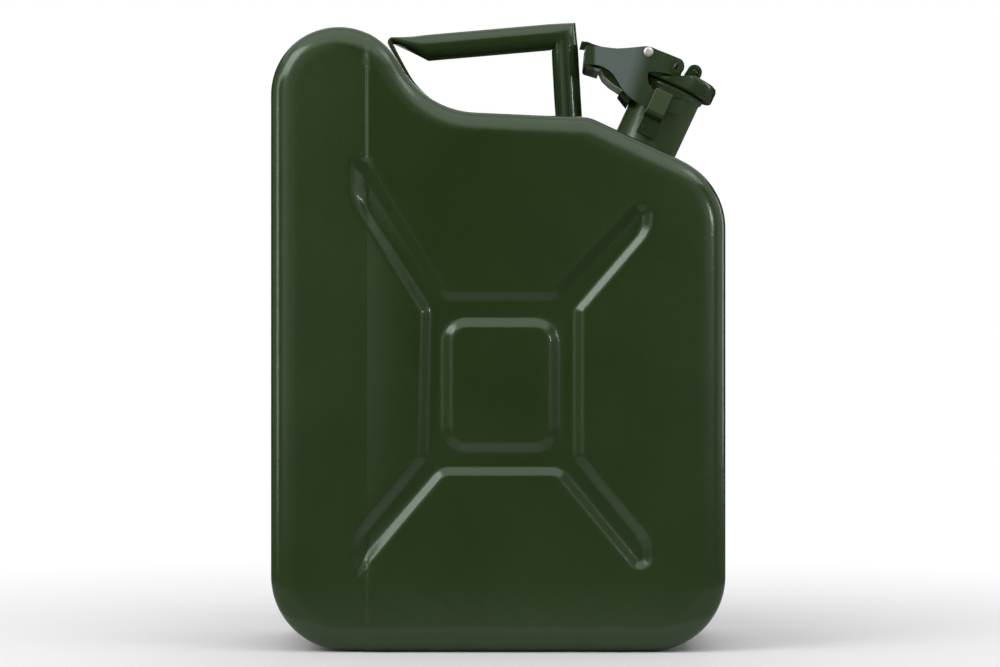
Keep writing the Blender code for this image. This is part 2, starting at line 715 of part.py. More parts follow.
def hinge_pin(frame):
    """Headed pin through the bracket's ears and the lid arm's knuckle."""
    reach = ARM_HALF_WIDTH + PIN_GAP + STRAP_THICKNESS + SEAT_GAP
    head = HINGE_PIN_RADIUS + 0.0010
    profile = [(0, -reach - 0.0006), (head, -reach - 0.0004), (head, -reach), (HINGE_PIN_RADIUS, -reach),
               (HINGE_PIN_RADIUS, reach), (head, reach), (head, reach + 0.0004), (0, reach + 0.0006)]
    made = new_object("hinge_pin", across(profile), bare_steel("hinge_pin"), frame)
    made.location = (HINGE_U, 0.0, HINGE_W)
    return made


def lid_levels():
    """Heights in the neck's frame: gasket foot, plate underside, plate top and strap underside."""
    gasket = NECK_HEIGHT + SEAT_GAP
    plate = gasket + GASKET_THICKNESS + SEAT_GAP
    top = plate + LID_PLATE
    return gasket, plate, top, top + SEAT_GAP


def lid(axis):
    """Pressed lid whose rim stands tall at the pouring side and runs low under the lever."""
    gasket, plate, top, _ = lid_levels()
    skirt = plate - LID_SKIRT
    rim_in = LID_RADIUS - LID_RIM
    crown = skirt + LID_HEIGHT
    profile = [(RIVET_RADIUS + PIN_GAP, plate), (rim_in, plate), (rim_in, skirt), (LID_RADIUS - 0.0008, skirt),
               (LID_RADIUS, skirt + 0.0008), (LID_RADIUS, crown - 0.0024), (LID_RADIUS - 0.0007, crown - 0.0008),
               (LID_RADIUS - LID_RIM * 0.5, crown), (rim_in + 0.0004, crown - 0.0006), (rim_in, crown - 0.0018),
               (rim_in, top), (RIVET_RADIUS + PIN_GAP, top)]
    offset = (HINGE_U, HINGE_W)
    made = new_object("lid", lathe(profile, NECK_SIDES, offset, closed=True), painted("lid"), axis)
    rise = LID_RADIUS * 2
    waste = [(LID_CUT_START, top), (LID_CUT_START + rise, top + rise * math.tan(LID_CUT_SLOPE)),
             (LID_CUT_START + rise, top + rise), (-rise, top + rise), (-rise, top)]
    cut(made, new_object("lid_waste", prism(waste, 2 * LID_RADIUS, offset), parent=axis))
    fall = LID_RADIUS + LID_CUT_START
    low = (-LID_RADIUS, top - fall * math.tan(LID_CUT_SLOPE))
    flank = [low, waste[1], waste[2], waste[3]]
    for name, side in (("near", -1), ("far", 1)):
        inner_y, outer_y = side * (LEVER_INNER_HALF - SLIDE_GAP), side * 2 * LID_RADIUS
        tool = prism(flank, max(inner_y, outer_y), offset, min(inner_y, outer_y))
        cut(made, new_object("lid_flank_" + name, tool, parent=axis))
    return made


def gasket_ring(axis):
    gasket = lid_levels()[0]
    high = gasket + GASKET_THICKNESS
    profile = [(GASKET_INNER, gasket), (GASKET_OUTER, gasket), (GASKET_OUTER, high), (GASKET_INNER, high)]
    made = lathe(profile, NECK_SIDES, (HINGE_U, HINGE_W), closed=True)
    return new_object("gasket", made, finish_material("gasket_rubber", RUBBER, 0.0, 0.75), axis)


def gasket_retainer(axis):
    """Disc under the lid that holds the gasket's inner edge."""
    high = lid_levels()[1] - SEAT_GAP
    low = high - RETAINER_THICKNESS
    outer = GASKET_INNER - SEAT_GAP
    inner = RIVET_RADIUS + PIN_GAP
    profile = [(inner, low), (outer, low), (outer, high), (inner, high)]
    made = lathe(profile, NECK_SIDES, (HINGE_U, HINGE_W), closed=True)
    return new_object("gasket_retainer", made, bare_steel("gasket_retainer"), axis)


def lid_rivet(axis):
    """Rivet that ties the retainer, the lid and the arm together."""
    low = lid_levels()[1] - 2 * SEAT_GAP - RETAINER_THICKNESS
    high = lid_levels()[3] + ARM_THICKNESS + SEAT_GAP
    profile = [(0, low - RIVET_HEAD_HEIGHT), (RIVET_HEAD * 0.6, low - RIVET_HEAD_HEIGHT * 0.9),
               (RIVET_HEAD, low - RIVET_HEAD_HEIGHT * 0.3), (RIVET_HEAD, low), (RIVET_RADIUS, low),
               (RIVET_RADIUS, high), (RIVET_HEAD, high), (RIVET_HEAD, high + RIVET_HEAD_HEIGHT * 0.3),
               (RIVET_HEAD * 0.6, high + RIVET_HEAD_HEIGHT * 0.9), (0, high + RIVET_HEAD_HEIGHT)]
    made = lathe(profile, ROUND_SIDES, (HINGE_U, HINGE_W))
    return new_object("lid_rivet", made, bare_steel("lid_rivet"), axis)


def arm_outline():
    """Side of the lid arm: hinge knuckle, flat strap, riser and rolled finger curl."""
    under = lid_levels()[3]
    over = under + ARM_THICKNESS
    inner_curl = CURL_RADIUS - ARM_THICKNESS
    start = math.asin((under - HINGE_W) / KNUCKLE_RADIUS)
    right = CURL_U + CURL_RADIUS
    bend = 0.0035
    outline = arc((right - bend, under + bend), bend, -math.pi / 2, 0.0, 4)
    outline += arc((CURL_U, CURL_W), CURL_RADIUS, 0.0, math.radians(270), 14)
    outline += arc((CURL_U, CURL_W), inner_curl, math.radians(270), 0.0, 14)
    inner_bend = bend - ARM_THICKNESS
    outline += arc((right - ARM_THICKNESS - inner_bend, over + inner_bend), inner_bend, 0.0, -math.pi / 2, 3)
    outline += arc((HINGE_U, HINGE_W), KNUCKLE_RADIUS, math.pi / 2, 2 * math.pi + start, 16)
    return outline


def lid_arm(axis):
    """Strap riveted to the lid, with two ears for the lever's pivot."""
    offset = (HINGE_U, HINGE_W)
    made = new_object("lid_arm", prism(arm_outline(), ARM_HALF_WIDTH, offset), painted("lid_arm"), axis)
    over = lid_levels()[3] + ARM_THICKNESS
    eye = PIVOT_TUBE_RADIUS + STRAP_THICKNESS
    ears = [(PIVOT_U - eye * 1.15, over - ARM_THICKNESS / 2), (PIVOT_U + eye * 1.15, over - ARM_THICKNESS / 2)]
    ears += arc((PIVOT_U, PIVOT_W), eye, 0.0, math.pi, 10)
    join(made, new_object("arm_ears", prism(ears, ARM_HALF_WIDTH - SEAT_GAP, offset), parent=axis))
    gap = [(PIVOT_U - 2 * eye, over), (PIVOT_U + 1.3 * eye, over), (PIVOT_U + 1.3 * eye, over + 4 * eye),
           (PIVOT_U - 2 * eye, over + 4 * eye)]
    inside = ARM_HALF_WIDTH - SEAT_GAP - LEVER_PLATE
    cut(made, new_object("arm_gap", prism(gap, inside, offset), parent=axis))
    hinge_bore = new_object("arm_hinge_bore", rod_across(HINGE_PIN_RADIUS + PIN_GAP, 2 * ARM_HALF_WIDTH), parent=axis)
    cut(made, hinge_bore)
    pivot_bore = new_object("arm_pivot_bore", rod_across(PIVOT_TUBE_RADIUS + PIN_GAP, 2 * ARM_HALF_WIDTH), parent=axis)
    pivot_bore.location = (PIVOT_U - HINGE_U, 0.0, PIVOT_W - HINGE_W)
    cut(made, pivot_bore)
    low, high = -ARM_THICKNESS, 3 * ARM_THICKNESS
    rivet = [(0, low), (RIVET_RADIUS + PIN_GAP, low), (RIVET_RADIUS + PIN_GAP, high), (0, high)]
    rivet_bore = new_object("arm_rivet_bore", lathe(rivet, ROUND_SIDES), parent=axis)
    rivet_bore.location = (-HINGE_U, 0.0, over - ARM_THICKNESS - HINGE_W)
    cut(made, rivet_bore)
    return made


def pivot_tube(axis):
    """Flared tubular rivet on which the lever turns."""
    reach = LEVER_INNER_HALF + LEVER_PLATE + SEAT_GAP
    flare = 0.0009
    profile = [(PIVOT_BORE, -reach - flare), (PIVOT_FLARE, -reach - flare * 0.8), (PIVOT_FLARE, -reach),
               (PIVOT_TUBE_RADIUS, -reach), (PIVOT_TUBE_RADIUS, reach), (PIVOT_FLARE, reach),
               (PIVOT_FLARE, reach + flare * 0.8), (PIVOT_BORE, reach + flare)]
    made = lathe(profile, ROUND_SIDES, closed=True)
    bmesh.ops.rotate(made, verts=made.verts, cent=(0, 0, 0), matrix=Matrix.Rotation(-math.pi / 2, 3, "X"))
    tube = new_object("pivot_tube", made, painted("pivot_tube"), axis)
    tube.location = (PIVOT_U - HINGE_U, 0.0, PIVOT_W - HINGE_W)
    return tube


def lever_outline():
    """Side of the lever: finger end at the left, eye over the lid and nose beside the neck."""
    eye_start = math.radians(75)
    eye_end = math.radians(-85)
    outline = [(LEVER_END_U, LEVER_END_TOP), (-0.0584, 0.0440), (-0.0536, 0.0459), (-0.0470, 0.0480),
               (-0.0423, 0.0496), (-0.0368, 0.0525), (-0.0320, 0.0553), (-0.0284, 0.0575), (-0.0256, 0.0589),
               (-0.0225, 0.0596), (-0.0173, 0.0598), (-0.0114, 0.0602)]
    outline += arc((PIVOT_U, PIVOT_W), LEVER_EYE, eye_start, eye_end, 10)
    outline += [(-0.0104, 0.0478), (-0.0170, 0.0454), (-0.0180, 0.0443), (-0.0168, 0.0408), (-0.0143, 0.0374),
                (-0.0116, 0.0361), (0.0030, 0.0362)]
    outline += arc((NOSE_U, NOSE_W), NOSE_RADIUS, math.radians(110), math.radians(-105), 12)
    outline += [(-0.0109, 0.0236), (-0.0155, 0.0240), (-0.0200, 0.0248), (-0.0250, 0.0264), (-0.0294, 0.0286),
                (-0.0323, 0.0306), (-0.0365, 0.0335), (-0.0408, 0.0351), (-0.0448, 0.0355), (-0.0480, 0.0353),
                (-0.0505, 0.0345), (LEVER_END_LOW_U, LEVER_END_LOW)]
    return outline


def lever(axis):
    """U-shaped lever: two side plates joined by the web at the finger end."""
    offset = (PIVOT_U, PIVOT_W)
    half = LEVER_INNER_HALF + LEVER_PLATE
    made = new_object("lever", prism(lever_outline(), half, offset), painted("lever"), axis)
    web = LEVER_PLATE
    slope = (LEVER_END_LOW_U - LEVER_END_U) / (LEVER_END_TOP - LEVER_END_LOW)
    low, high = LEVER_END_LOW - 0.020, LEVER_END_TOP + 0.030
    hollow = [(LEVER_END_U + web + (LEVER_END_TOP - low) * slope, low), (0.030, low), (0.030, high),
              (LEVER_END_U + web + (LEVER_END_TOP - high) * slope, high)]
    cut(made, new_object("lever_hollow", prism(hollow, LEVER_INNER_HALF, offset), parent=axis))
    end, foot = LEVER_END_LOW_U, LEVER_END_LOW
    hem = [(end - 0.0003, foot + 0.0014), (end + 0.0003, foot - 0.0006), (end + 0.0016, foot - 0.0015),
           (LEVER_HEM_END + 0.0002, foot - 0.0002), (LEVER_HEM_END, foot + 0.0016), (end + 0.0040, foot + 0.0008),
           (end + 0.0020, foot + 0.0026)]
    join(made, new_object("lever_hem", prism(hem, LEVER_INNER_HALF + LEVER_PLATE / 2, offset), parent=axis))
    cut(made, new_object("lever_pivot_bore", rod_across(PIVOT_TUBE_RADIUS + PIN_GAP, 2 * half), parent=axis))
    bore = new_object("lever_latch_bore", rod_across(LATCH_PIN_RADIUS + PIN_GAP, 2 * half), parent=axis)
    bore.location = (LATCH_PIN_U - PIVOT_U, 0.0, LATCH_PIN_W - PIVOT_W)
    cut(made, bore)
    return made


def latch_pin(axis):
    """Bright riveted pin across the lever."""
    reach = LEVER_INNER_HALF + LEVER_PLATE + SEAT_GAP
    profile = [(0, -reach - 0.0016), (LATCH_PIN_HEAD * 0.7, -reach - 0.0013), (LATCH_PIN_HEAD, -reach - 0.0005),
               (LATCH_PIN_HEAD, -reach), (LATCH_PIN_RADIUS, -reach), (LATCH_PIN_RADIUS, reach),
               (LATCH_PIN_HEAD, reach), (LATCH_PIN_HEAD, reach + 0.0005), (LATCH_PIN_HEAD * 0.7, reach + 0.0013),
               (0, reach + 0.0016)]
    made = new_object("latch_pin", across(profile), bare_steel("latch_pin"), axis)
    made.location = (LATCH_PIN_U - PIVOT_U, 0.0, LATCH_PIN_W - PIVOT_W)
    return made


def latch(axis):
    """Finger latch between the lever's plates, turning on the bright pin."""
    offset = (LATCH_PIN_U, LATCH_PIN_W)
    sheet = LATCH_SHEET
    outer = [(LATCH_LIP_END, 0.0449), (LATCH_LIP_END + 0.0003, 0.0436), (-0.0606, 0.0448), (-0.0578, 0.0447),
             (-0.0550, 0.0422), (-0.0505, 0.0380), (-0.0465, 0.0346), (-0.0422, 0.0310), (-0.0365, 0.0291),
             (-0.0278, 0.0279), (-0.0278, 0.0279 + sheet), (-0.0310, 0.0316), (-0.0290, 0.0460)]
    outer += arc((LATCH_PIN_U, LATCH_PIN_W), LATCH_EYE, math.radians(-50), math.radians(120), 10)
    outer += [(-0.0335, 0.0533), (-0.0430, 0.0484), (-0.0570, 0.0464), (-0.0606, 0.0463)]
    made = new_object("latch", prism(outer, LATCH_HALF_WIDTH, offset), painted("latch"), axis)
    inner = [(LATCH_LIP_END - sheet, 0.0460), (-0.0606, 0.0463), (-0.0568, 0.0462), (-0.0536, 0.0432),
             (-0.0492, 0.0391), (-0.0455, 0.0360), (-0.0415, 0.0327), (-0.0362, 0.0309),
             (-0.0278, 0.0279 + sheet), (-0.0150, 0.0279 + sheet), (-0.0150, 0.0680),
             (LATCH_LIP_END - sheet, 0.0680)]
    cut(made, new_object("latch_hollow", prism(inner, LATCH_HALF_WIDTH - sheet, offset), parent=axis))
    cut(made, new_object("latch_bore", rod_across(LATCH_PIN_RADIUS + PIN_GAP, 2 * LATCH_HALF_WIDTH), parent=axis))
    return made


def latch_spring(axis):
    """Torsion spring coiled loosely round the latch pin."""
    curve = bpy.data.curves.new("latch_spring", "CURVE")
    curve.dimensions = "3D"
    curve.bevel_depth = SPRING_WIRE
    curve.bevel_resolution = 1
    curve.use_fill_caps = True
    radius = LATCH_PIN_RADIUS + SEAT_GAP + SPRING_WIRE
    per_turn = 10
    count = SPRING_TURNS * per_turn
    spots = []
    for i in range(count + 1):
        angle = 2 * math.pi * i / per_turn + math.radians(200)
        y = (i / count - 0.5) * SPRING_TURNS * SPRING_PITCH
        spots.append(Vector((radius * math.cos(angle), y, radius * math.sin(angle))))
    spline = curve.splines.new("POLY")
    spline.points.add(len(spots) - 1)
    for point, spot in zip(spline.points, spots):
        point.co = (*spot, 1.0)
    curve.materials.append(bare_steel("latch_spring"))
    made = bpy.data.objects.new("latch_spring", curve)
    bpy.context.scene.collection.objects.link(made)
    made.parent = axis
    made.location = (LATCH_PIN_U - PIVOT_U, 0.0, LATCH_PIN_W - PIVOT_W)
    apart = [(a - b).length for i, a in enumerate(spots) for b in spots[i + per_turn // 2:]]
    print("least gap between spring turns, mm:", round((min(apart) - 2 * SPRING_WIRE) * 1000, 2))
    return made


def build():
    clear_scene()
    foot = shoulder_point(NECK_ALONG)
    frame = new_axis("neck_frame", (foot[0], 0.0, foot[1]), tilt=SHOULDER_SLOPE)
    lid_axis = new_axis("lid_hinge_axis", (HINGE_U, 0.0, HINGE_W), frame)
    lever_axis = new_axis("lever_axis", (PIVOT_U - HINGE_U, 0.0, PIVOT_W - HINGE_W), lid_axis)
    latch_axis = new_axis("latch_axis", (LATCH_PIN_U - PIVOT_U, 0.0, LATCH_PIN_W - PIVOT_W), lever_axis)

    hole = NECK_RADIUS + SEAT_GAP
    reach = NECK_INSIDE * 2
    plug = [(0, -reach), (hole, -reach), (hole, reach), (0, reach)]
    neck_hole = new_object("neck_hole", lathe(plug, NECK_SIDES), parent=frame)
    half_shell("shell_front", -1, neck_hole)
    half_shell("shell_back", 1, neck_hole)
    handle()
    handle_foot()
    neck_tube(frame)
    neck_collar(frame)
    breather_tube()
    keeper("keeper_near", -1, frame)
    keeper("keeper_far", 1, frame)
    hinge_bracket(frame)
    hinge_pin(frame)
    lid(lid_axis)
    gasket_ring(lid_axis)
    gasket_retainer(lid_axis)
    lid_rivet(lid_axis)
    lid_arm(lid_axis)
    pivot_tube(lid_axis)
    lever(lever_axis)
    latch_pin(lever_axis)
    latch_spring(lever_axis)
    latch(latch_axis)


build()
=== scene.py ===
"""Visual model of a ten-litre pressed-steel fuel can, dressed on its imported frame.

Metres, +Z up. The half shells meet at the seam plane Y = 0 and the can pours towards +X.
Pieces of the closure are drawn in the neck's own frame: u runs down the sloping shoulder,
w runs up the neck's axis and y stays across the can.
"""
import math

import bmesh
import bpy
import numpy as np
from mathutils import Matrix, Vector
from mathutils.geometry import delaunay_2d_cdt


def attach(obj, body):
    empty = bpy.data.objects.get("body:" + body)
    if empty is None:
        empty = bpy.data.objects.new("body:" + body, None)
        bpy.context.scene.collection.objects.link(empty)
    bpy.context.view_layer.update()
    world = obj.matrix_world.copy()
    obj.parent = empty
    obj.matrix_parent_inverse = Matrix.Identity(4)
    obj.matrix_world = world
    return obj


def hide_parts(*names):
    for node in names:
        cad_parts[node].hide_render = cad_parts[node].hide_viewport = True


# Can body, seen from the side
BODY_WIDTH = 0.280
BODY_DEPTH = 0.144
DOME_TOP = 0.3845
DOME_RADIUS = 0.042
SADDLE_SLOPE = math.radians(61)
SADDLE_RADIUS = 0.054
DECK_END = (0.0564, 0.3285)
DECK_SLOPE = math.radians(2.6)
DECK_END_RADIUS = 0.020
SHOULDER_SLOPE = math.radians(25)
SHOULDER_RADIUS = 0.0466
BASE_RADIUS = 0.046

# Pressed sheet of each half shell
SEAT_GAP = 0.0003
SHEET = 0.0012
RIM_RADIUS = 0.011
RIM_RUN = 0.016
GROOVE_DEPTH = 0.006
GROOVE_FLOOR = 0.0030
GROOVE_HALF_WIDTH = 0.0090
WELD_FLANGE_INSET = 0.0015
COLUMN_EDGE_X = -0.0803
COLUMN_DROP = 0.0015
COLUMN_TILT = math.radians(1.5)
COLUMN_STEP = 0.0022
CREASE_REACH = 0.6
PANEL_CROWN_X = -0.050

# Stiffening channels: wall middles as (x, z, bend radius), clockwise from the ring's top left
RING_BEND, ARM_BEND, TIP_BEND, END_BEND = 0.006, 0.010, 0.0045, 0.020
CHANNEL_CORNERS = [
    (-0.0332, 0.2180, ARM_BEND), (0.0340, 0.2180, ARM_BEND),
    (0.0915, 0.2792, TIP_BEND), (0.0915, 0.2589, END_BEND),
    (0.0492, 0.2095, RING_BEND), (0.0492, 0.1195, RING_BEND),
    (0.0915, 0.0682, END_BEND), (0.0915, 0.0454, TIP_BEND),
    (0.0376, 0.1110, ARM_BEND), (-0.0345, 0.1110, ARM_BEND),
    (-0.0945, 0.0405, TIP_BEND), (-0.0945, 0.0611, TIP_BEND),
    (-0.0460, 0.1195, RING_BEND), (-0.0440, 0.2095, RING_BEND),
    (-0.0827, 0.2710, ARM_BEND), (-0.0945, 0.2857, TIP_BEND),
    (-0.0945, 0.3043, TIP_BEND), (-0.0815, 0.2968, ARM_BEND)]
CHANNEL_DEPTH = 0.0035
CHANNEL_WALL = 0.0058
CHANNEL_EASE = 0.13
REACH_LEFT = 0.0920
RUN_OUT_LEFT = 0.013
ISLAND_X = 0.0016
ISLAND_Z = 0.1639
ISLAND_HALF_X = 0.0300
ISLAND_HALF_Z = 0.0352
ISLAND_CORNER = 0.0090
ISLAND_WALL = 0.0062

# Lines that bound the crowned panel between the two left arms, as (x, z, steepness)
LEFT_ARM_TOP = (-0.0386, 0.2138, 1.60)
LEFT_ARM_BOTTOM = (-0.0402, 0.1152, 1.19)

# Carrying handle
GRIP_DIAMETER = 0.017
GRIP_SLOPE = math.radians(5)
HANDLE_CORNER_Z = 0.3853
LEG_X = 0.0452
FOOT_SETBACK = 0.0015
LEG_LEAN = math.radians(3.2)
MITRE_FULLNESS = 0.93
TONGUE_WIDTH = 0.024
TONGUE_THICKNESS = 0.0030
TONGUE_LENGTH = 0.022
TONGUE_ARC = math.radians(24)
TONGUE_STEPS = 12
TONGUE_TIP_START = 0.6
TONGUE_TIP_STEPS = 4
TONGUE_RISE_STEPS = 4
HAIRPIN_RADIUS = 0.0018
HAIRPIN_STEPS = 10
PINCH_LENGTH = 0.022
PINCH_STEPS = 18
GRIP_STOPS = (0.3, 0.6)
LEG_STOPS = (0.022, 0.040)
MITRE_EASE = 0.0008
HANDLE_SIDES = 48
ROUND_SOONER = 1.6
FOOT_LENGTH = 0.026
FOOT_WIDTH = 0.036
FOOT_THICKNESS = 0.0020

# Neck and its seat
NECK_ALONG = 0.0393
NECK_RADIUS = 0.0206
NECK_WALL = 0.0012
NECK_HEIGHT = 0.0439
NECK_INSIDE = 0.006
LIP_RADIUS = 0.0018
LIP_INSET = 0.0006
LIP_START = math.radians(-52)
LIP_FOOT_OUTSIDE = 1.3
LIP_FOOT_INSIDE = 0.8
COLLAR_WIDTH = 0.0052
COLLAR_THICKNESS = 0.0015
COLLAR_SLANT = 0.002
COLLAR_ROUND = 0.9
COLLAR_TURNS = (20, 40, 60, 80)

# Rounded edges of the closure's turned parts
PIN_EDGE = 0.0002
GASKET_EDGE = 0.0003

# Rolled end of the arm's strap: its middle in the neck's frame, as (u, w)
CURL = (0.0086, 0.0580)
CURL_RADIUS = 0.0026
CURL_HALF_LENGTH = 0.0137
CURL_CHAMFER = 0.0006
CURL_FLAT = 0.55

# Spot welds of the keepers: (radius, height) of half a button, and its place in the neck's frame
SPOT_WELD_PROFILE = [(0.0014, 0.0), (0.00225, 0.0), (0.0021, 0.00028), (0.0015, 0.00034),
                     (0.0009, 0.00012), (0.0, 0.0001)]
SPOT_WELD_U = -0.0066
SPOT_WELD_W = 0.0130
KEEPER_THICKNESS = 0.0020

# Painted reflection under the finger latch: a pale strip in place of the white floor reflected there, as (x,
# z) of the can, and how far it reaches across
UNDERSIDE_PATH = [(0.06452, 0.36289), (0.06689, 0.35779), (0.07119, 0.35369), (0.07859, 0.34889)]
UNDERSIDE_Y = 0.0190
UNDERSIDE_PROUD = 0.0003
UNDERSIDE_SUNK = 0.0001

# Latch spring, round a pin whose middle is given in the neck's frame, as (u, w)
LATCH_PIN = (-0.0233, 0.0560)
SPRING_WIRE = 0.0006
SPRING_RADIUS = 0.0033
SPRING_TURNS = 5
SPRING_PITCH = 0.0019
SPRING_START = math.radians(200)
SPRING_STEPS = 20
SPRING_SIDES = 8
SPRING_BEND = 0.0001

# Weld beads: where they run, and in how many steps they are drawn
LEG_WELD_RADIUS = 0.0088
FOOT_WELD_OFF = 0.0002
FOOT_WELD_HEIGHT = 0.0006
FOOT_WELD_SPAN = (0.06, 0.94)
NECK_WELD_OFF = 0.0004
WELD_STEPS = 48
FOOT_WELD_STEPS = 12
WELD_SIDES = 10

# How finely the outlines and sections are drawn
FINE_ARC = math.radians(4)
FINE_RUN = 0.005
SECTION_STEPS = 8
RIM_STEPS = 18
TURNED_SIDES = 96
SMALL_SIDES = 32
PLUG_SIDES = 64

# How finely a shell's side is filled: its outer face, and its hidden inner face.
# Contours are shares of a wall's width, creases the rows along the column's edge.
GRID_CLEARANCE = 0.6
OUTER_GRAIN = {"spacing": 0.0026, "run": 0.0026, "turn": math.radians(10), "creases": 9,
               "contours": (-0.22, -0.08, 0.05, 0.18, 0.38, 0.62, 0.82, 0.95, 1.08, 1.22)}
INNER_GRAIN = {"spacing": 0.011, "run": 0.008, "turn": math.radians(24), "creases": 0,
               "contours": (0.0, 1.0)}

# Angles in degrees past which an edge stays sharp
SHEET_CREASE = 35.0
TURNED_CREASE = 50.0
WIRE_CREASE = 60.0

# Tolerances
TINY = 1e-18
SAME_PLACE = 2e-6
ON_AXIS = 1e-6
FILL_TOLERANCE = 1e-7
FACET_ANGLE = math.radians(0.6)
EDGE_ANGLE = math.radians(28)

# Enamel: its light and deep shade; a paler pair, painted light for the lit neck and the keepers' upper faces;
# and a pale grey-green, the lever's painted sheen
PAINT_GREEN = (0.0240, 0.0440, 0.0113, 1.0)
PAINT_DEEP = (0.0186, 0.0362, 0.0087, 1.0)
PAINTED_LIGHT_GREEN = (0.0540, 0.0800, 0.0330, 1.0)
PAINTED_LIGHT_DEEP = (0.0470, 0.0700, 0.0270, 1.0)
PAINT_SHEEN = (0.1150, 0.1450, 0.1300, 1.0)

# Painted sheen on the lever: a pale band in place of the reflection on its plate, along X; it leans with the
# height above a set level
SHEEN_START_X = 0.0598
SHEEN_END_X = 0.0900
SHEEN_EDGE = 0.002
SHEEN_RUN = 0.011
SHEEN_LEVEL = 0.350
SHEEN_LEAN = 0.3
SHEEN_LEAST = 0.1

# Bend of the keepers, above which their paint is paler: a painted highlight where their upper faces catch the
# light
KEEPER_BEND_X = 0.0980
KEEPER_BEND_Z = 0.3342
KEEPER_BLEND = 0.0015

# Camera
CAMERA_SPOT = (0.0012, -1.75, 0.1954)
FOCAL_PIXELS = 2743
FRAME_PIXELS = 1000
SENSOR_MM = 36.0

# Studio
FLOOR_HALF = 4
FLOOR_Z = -0.0004
SHADOW_REACH = 0.20
SHADOW_FADE = 2.2
SURROUND_RADIUS = 2.4
SURROUND_HEIGHTS = (-0.3, 1.7)
CARD_RADIUS = 2.35
CARD_SIDES = 24
APRON_RADIUS = 0.17
APRON_Z = 0.0006
APRON_SIDES = 64
APRON_GREY = (0.45, 0.45, 0.45, 1.0)
APRON_DARK = (0.11, 0.11, 0.11, 1.0)
APRON_STOPS = [(0.0, APRON_GREY), (0.142, APRON_GREY), (0.152, APRON_DARK)]
SOFT_LEVEL = 0.50

# What gloss meets round the can: from this bearing on in degrees, at this brightness
SURROUND = [(22, 0.0), (158, 0.30), (186, 0.9), (205, 0.10), (218, 1.0), (228, 0.75), (240, 0.45),
            (251, 0.50), (256.8, 0.30), (259.8, 0.09), (264, 0.0), (275, 0.25), (290, 0.40), (303, 0.60),
            (320, 0.30), (336, 0.85), (352, 1.0), (382, 0.0)]

# Cards in front of it: name, radius, lowest and highest Z, first and last bearing, brightness
CARDS = [("tip_glow", CARD_RADIUS, 0.30, 0.80, 294, 303, 0.9),
         ("upper_shade", CARD_RADIUS, 1.40, 2.30, 312, 338, 0.10),
         ("leg_line", CARD_RADIUS, 0.45, 0.85, 313, 316, 32.0)]

# Lamps: name, place, the place it looks at, width, height, watts
CAN_MIDDLE = (0.0, 0.0, 0.2)
LAMPS = [("overhead", (0.0, -0.55, 1.32), (0.0, -0.1, 0.2), 2.2, 1.1, 6.2),
         ("key", (-1.24, -0.87, 1.18), CAN_MIDDLE, 0.75, 0.75, 9.0),
         ("fill", (1.10, -0.64, 1.45), CAN_MIDDLE, 0.60, 0.45, 2.4),
         ("left", (-1.54, -0.47, 0.45), CAN_MIDDLE, 0.14, 0.9, 2.0),
         ("right", (1.55, 0.45, 0.50), CAN_MIDDLE, 0.25, 0.9, 2.4),
         ("behind", (0.2, 1.5, 0.9), CAN_MIDDLE, 1.2, 0.7, 7.0)]


# Node trees

class Number:
    """A number socket of a node tree, used in plain arithmetic."""

    def __init__(self, nodes, socket):
        self.nodes, self.socket = nodes, socket

    def math(self, operation, *others, swap=False):
        operands = [self, *others]
        if swap:
            operands.reverse()
        made = self.nodes.add("ShaderNodeMath", {"operation": operation}, dict(enumerate(operands)))
        return Number(self.nodes, made.outputs[0])

    def __add__(self, other):
        return self.math("ADD", other)

    def __sub__(self, other):
        return self.math("SUBTRACT", other)

    def __rsub__(self, other):
        return self.math("SUBTRACT", other, swap=True)

    def __mul__(self, other):
        return self.math("MULTIPLY", other)

    def __truediv__(self, other):
        return self.math("DIVIDE", other)

    __radd__ = __add__
    __rmul__ = __mul__

    def sine(self):
        return self.math("SINE")

    def clamped(self):
        return self.math("MAXIMUM", 0.0).math("MINIMUM", 1.0)


class Nodes:
    """Adds nodes to one tree: settings first, then the values or links of the sockets."""

    def __init__(self, tree):
        self.tree = tree

    def add(self, kind, settings=None, sockets=None):
        node = self.tree.nodes.new(kind)
        for name, value in (settings or {}).items():
            if name == "stops":
                self.set_stops(node.color_ramp, value)
            else:
                setattr(node, name, value)
        for name, value in (sockets or {}).items():
            value = getattr(value, "socket", value)
            if isinstance(value, bpy.types.NodeSocket):
                self.tree.links.new(value, node.inputs[name])
            else:
                node.inputs[name].default_value = value
        return node

    def number(self, kind, settings=None, sockets=None, output=0):
        return Number(self, self.add(kind, settings, sockets).outputs[output])

    @staticmethod
    def set_stops(ramp, stops):
        while len(ramp.elements) < len(stops):
            ramp.elements.new(1.0)
        while len(ramp.elements) > len(stops):
            ramp.elements.remove(ramp.elements[-1])
        for element, (place, colour) in zip(ramp.elements, stops):
            element.position, element.color = place, colour


class Finish(Nodes):
    """A material whose patterns read Object coordinates."""

    def __init__(self, name):
        self.material = bpy.data.materials.new(name)
        self.material.use_nodes = True
        super().__init__(self.material.node_tree)
        self.tree.nodes.clear()
        self.output = self.add("ShaderNodeOutputMaterial")
        self.place = self.add("ShaderNodeTexCoord").outputs["Object"]

    def noise(self, scale, detail=2.0, roughness=0.5, stretch=None):
        where = self.place
        if stretch:
            where = self.add("ShaderNodeMapping", None, {"Vector": where, "Scale": stretch}).outputs[0]
        return self.number("ShaderNodeTexNoise", {"noise_dimensions": "3D"},
                           {"Vector": where, "Scale": scale, "Detail": detail, "Roughness": roughness})

    def ramp(self, factor, stops):
        return self.add("ShaderNodeValToRGB", {"stops": stops}, {"Fac": factor}).outputs["Color"]

    def bump(self, height, distance, strength=1.0):
        return self.add("ShaderNodeBump", None, {"Height": height, "Distance": distance,
                                                 "Strength": strength}).outputs["Normal"]

    def surface(self, sockets):
        shader = self.add("ShaderNodeBsdfPrincipled", None, sockets)
        self.tree.links.new(shader.outputs[0], self.output.inputs["Surface"])
        return self.material


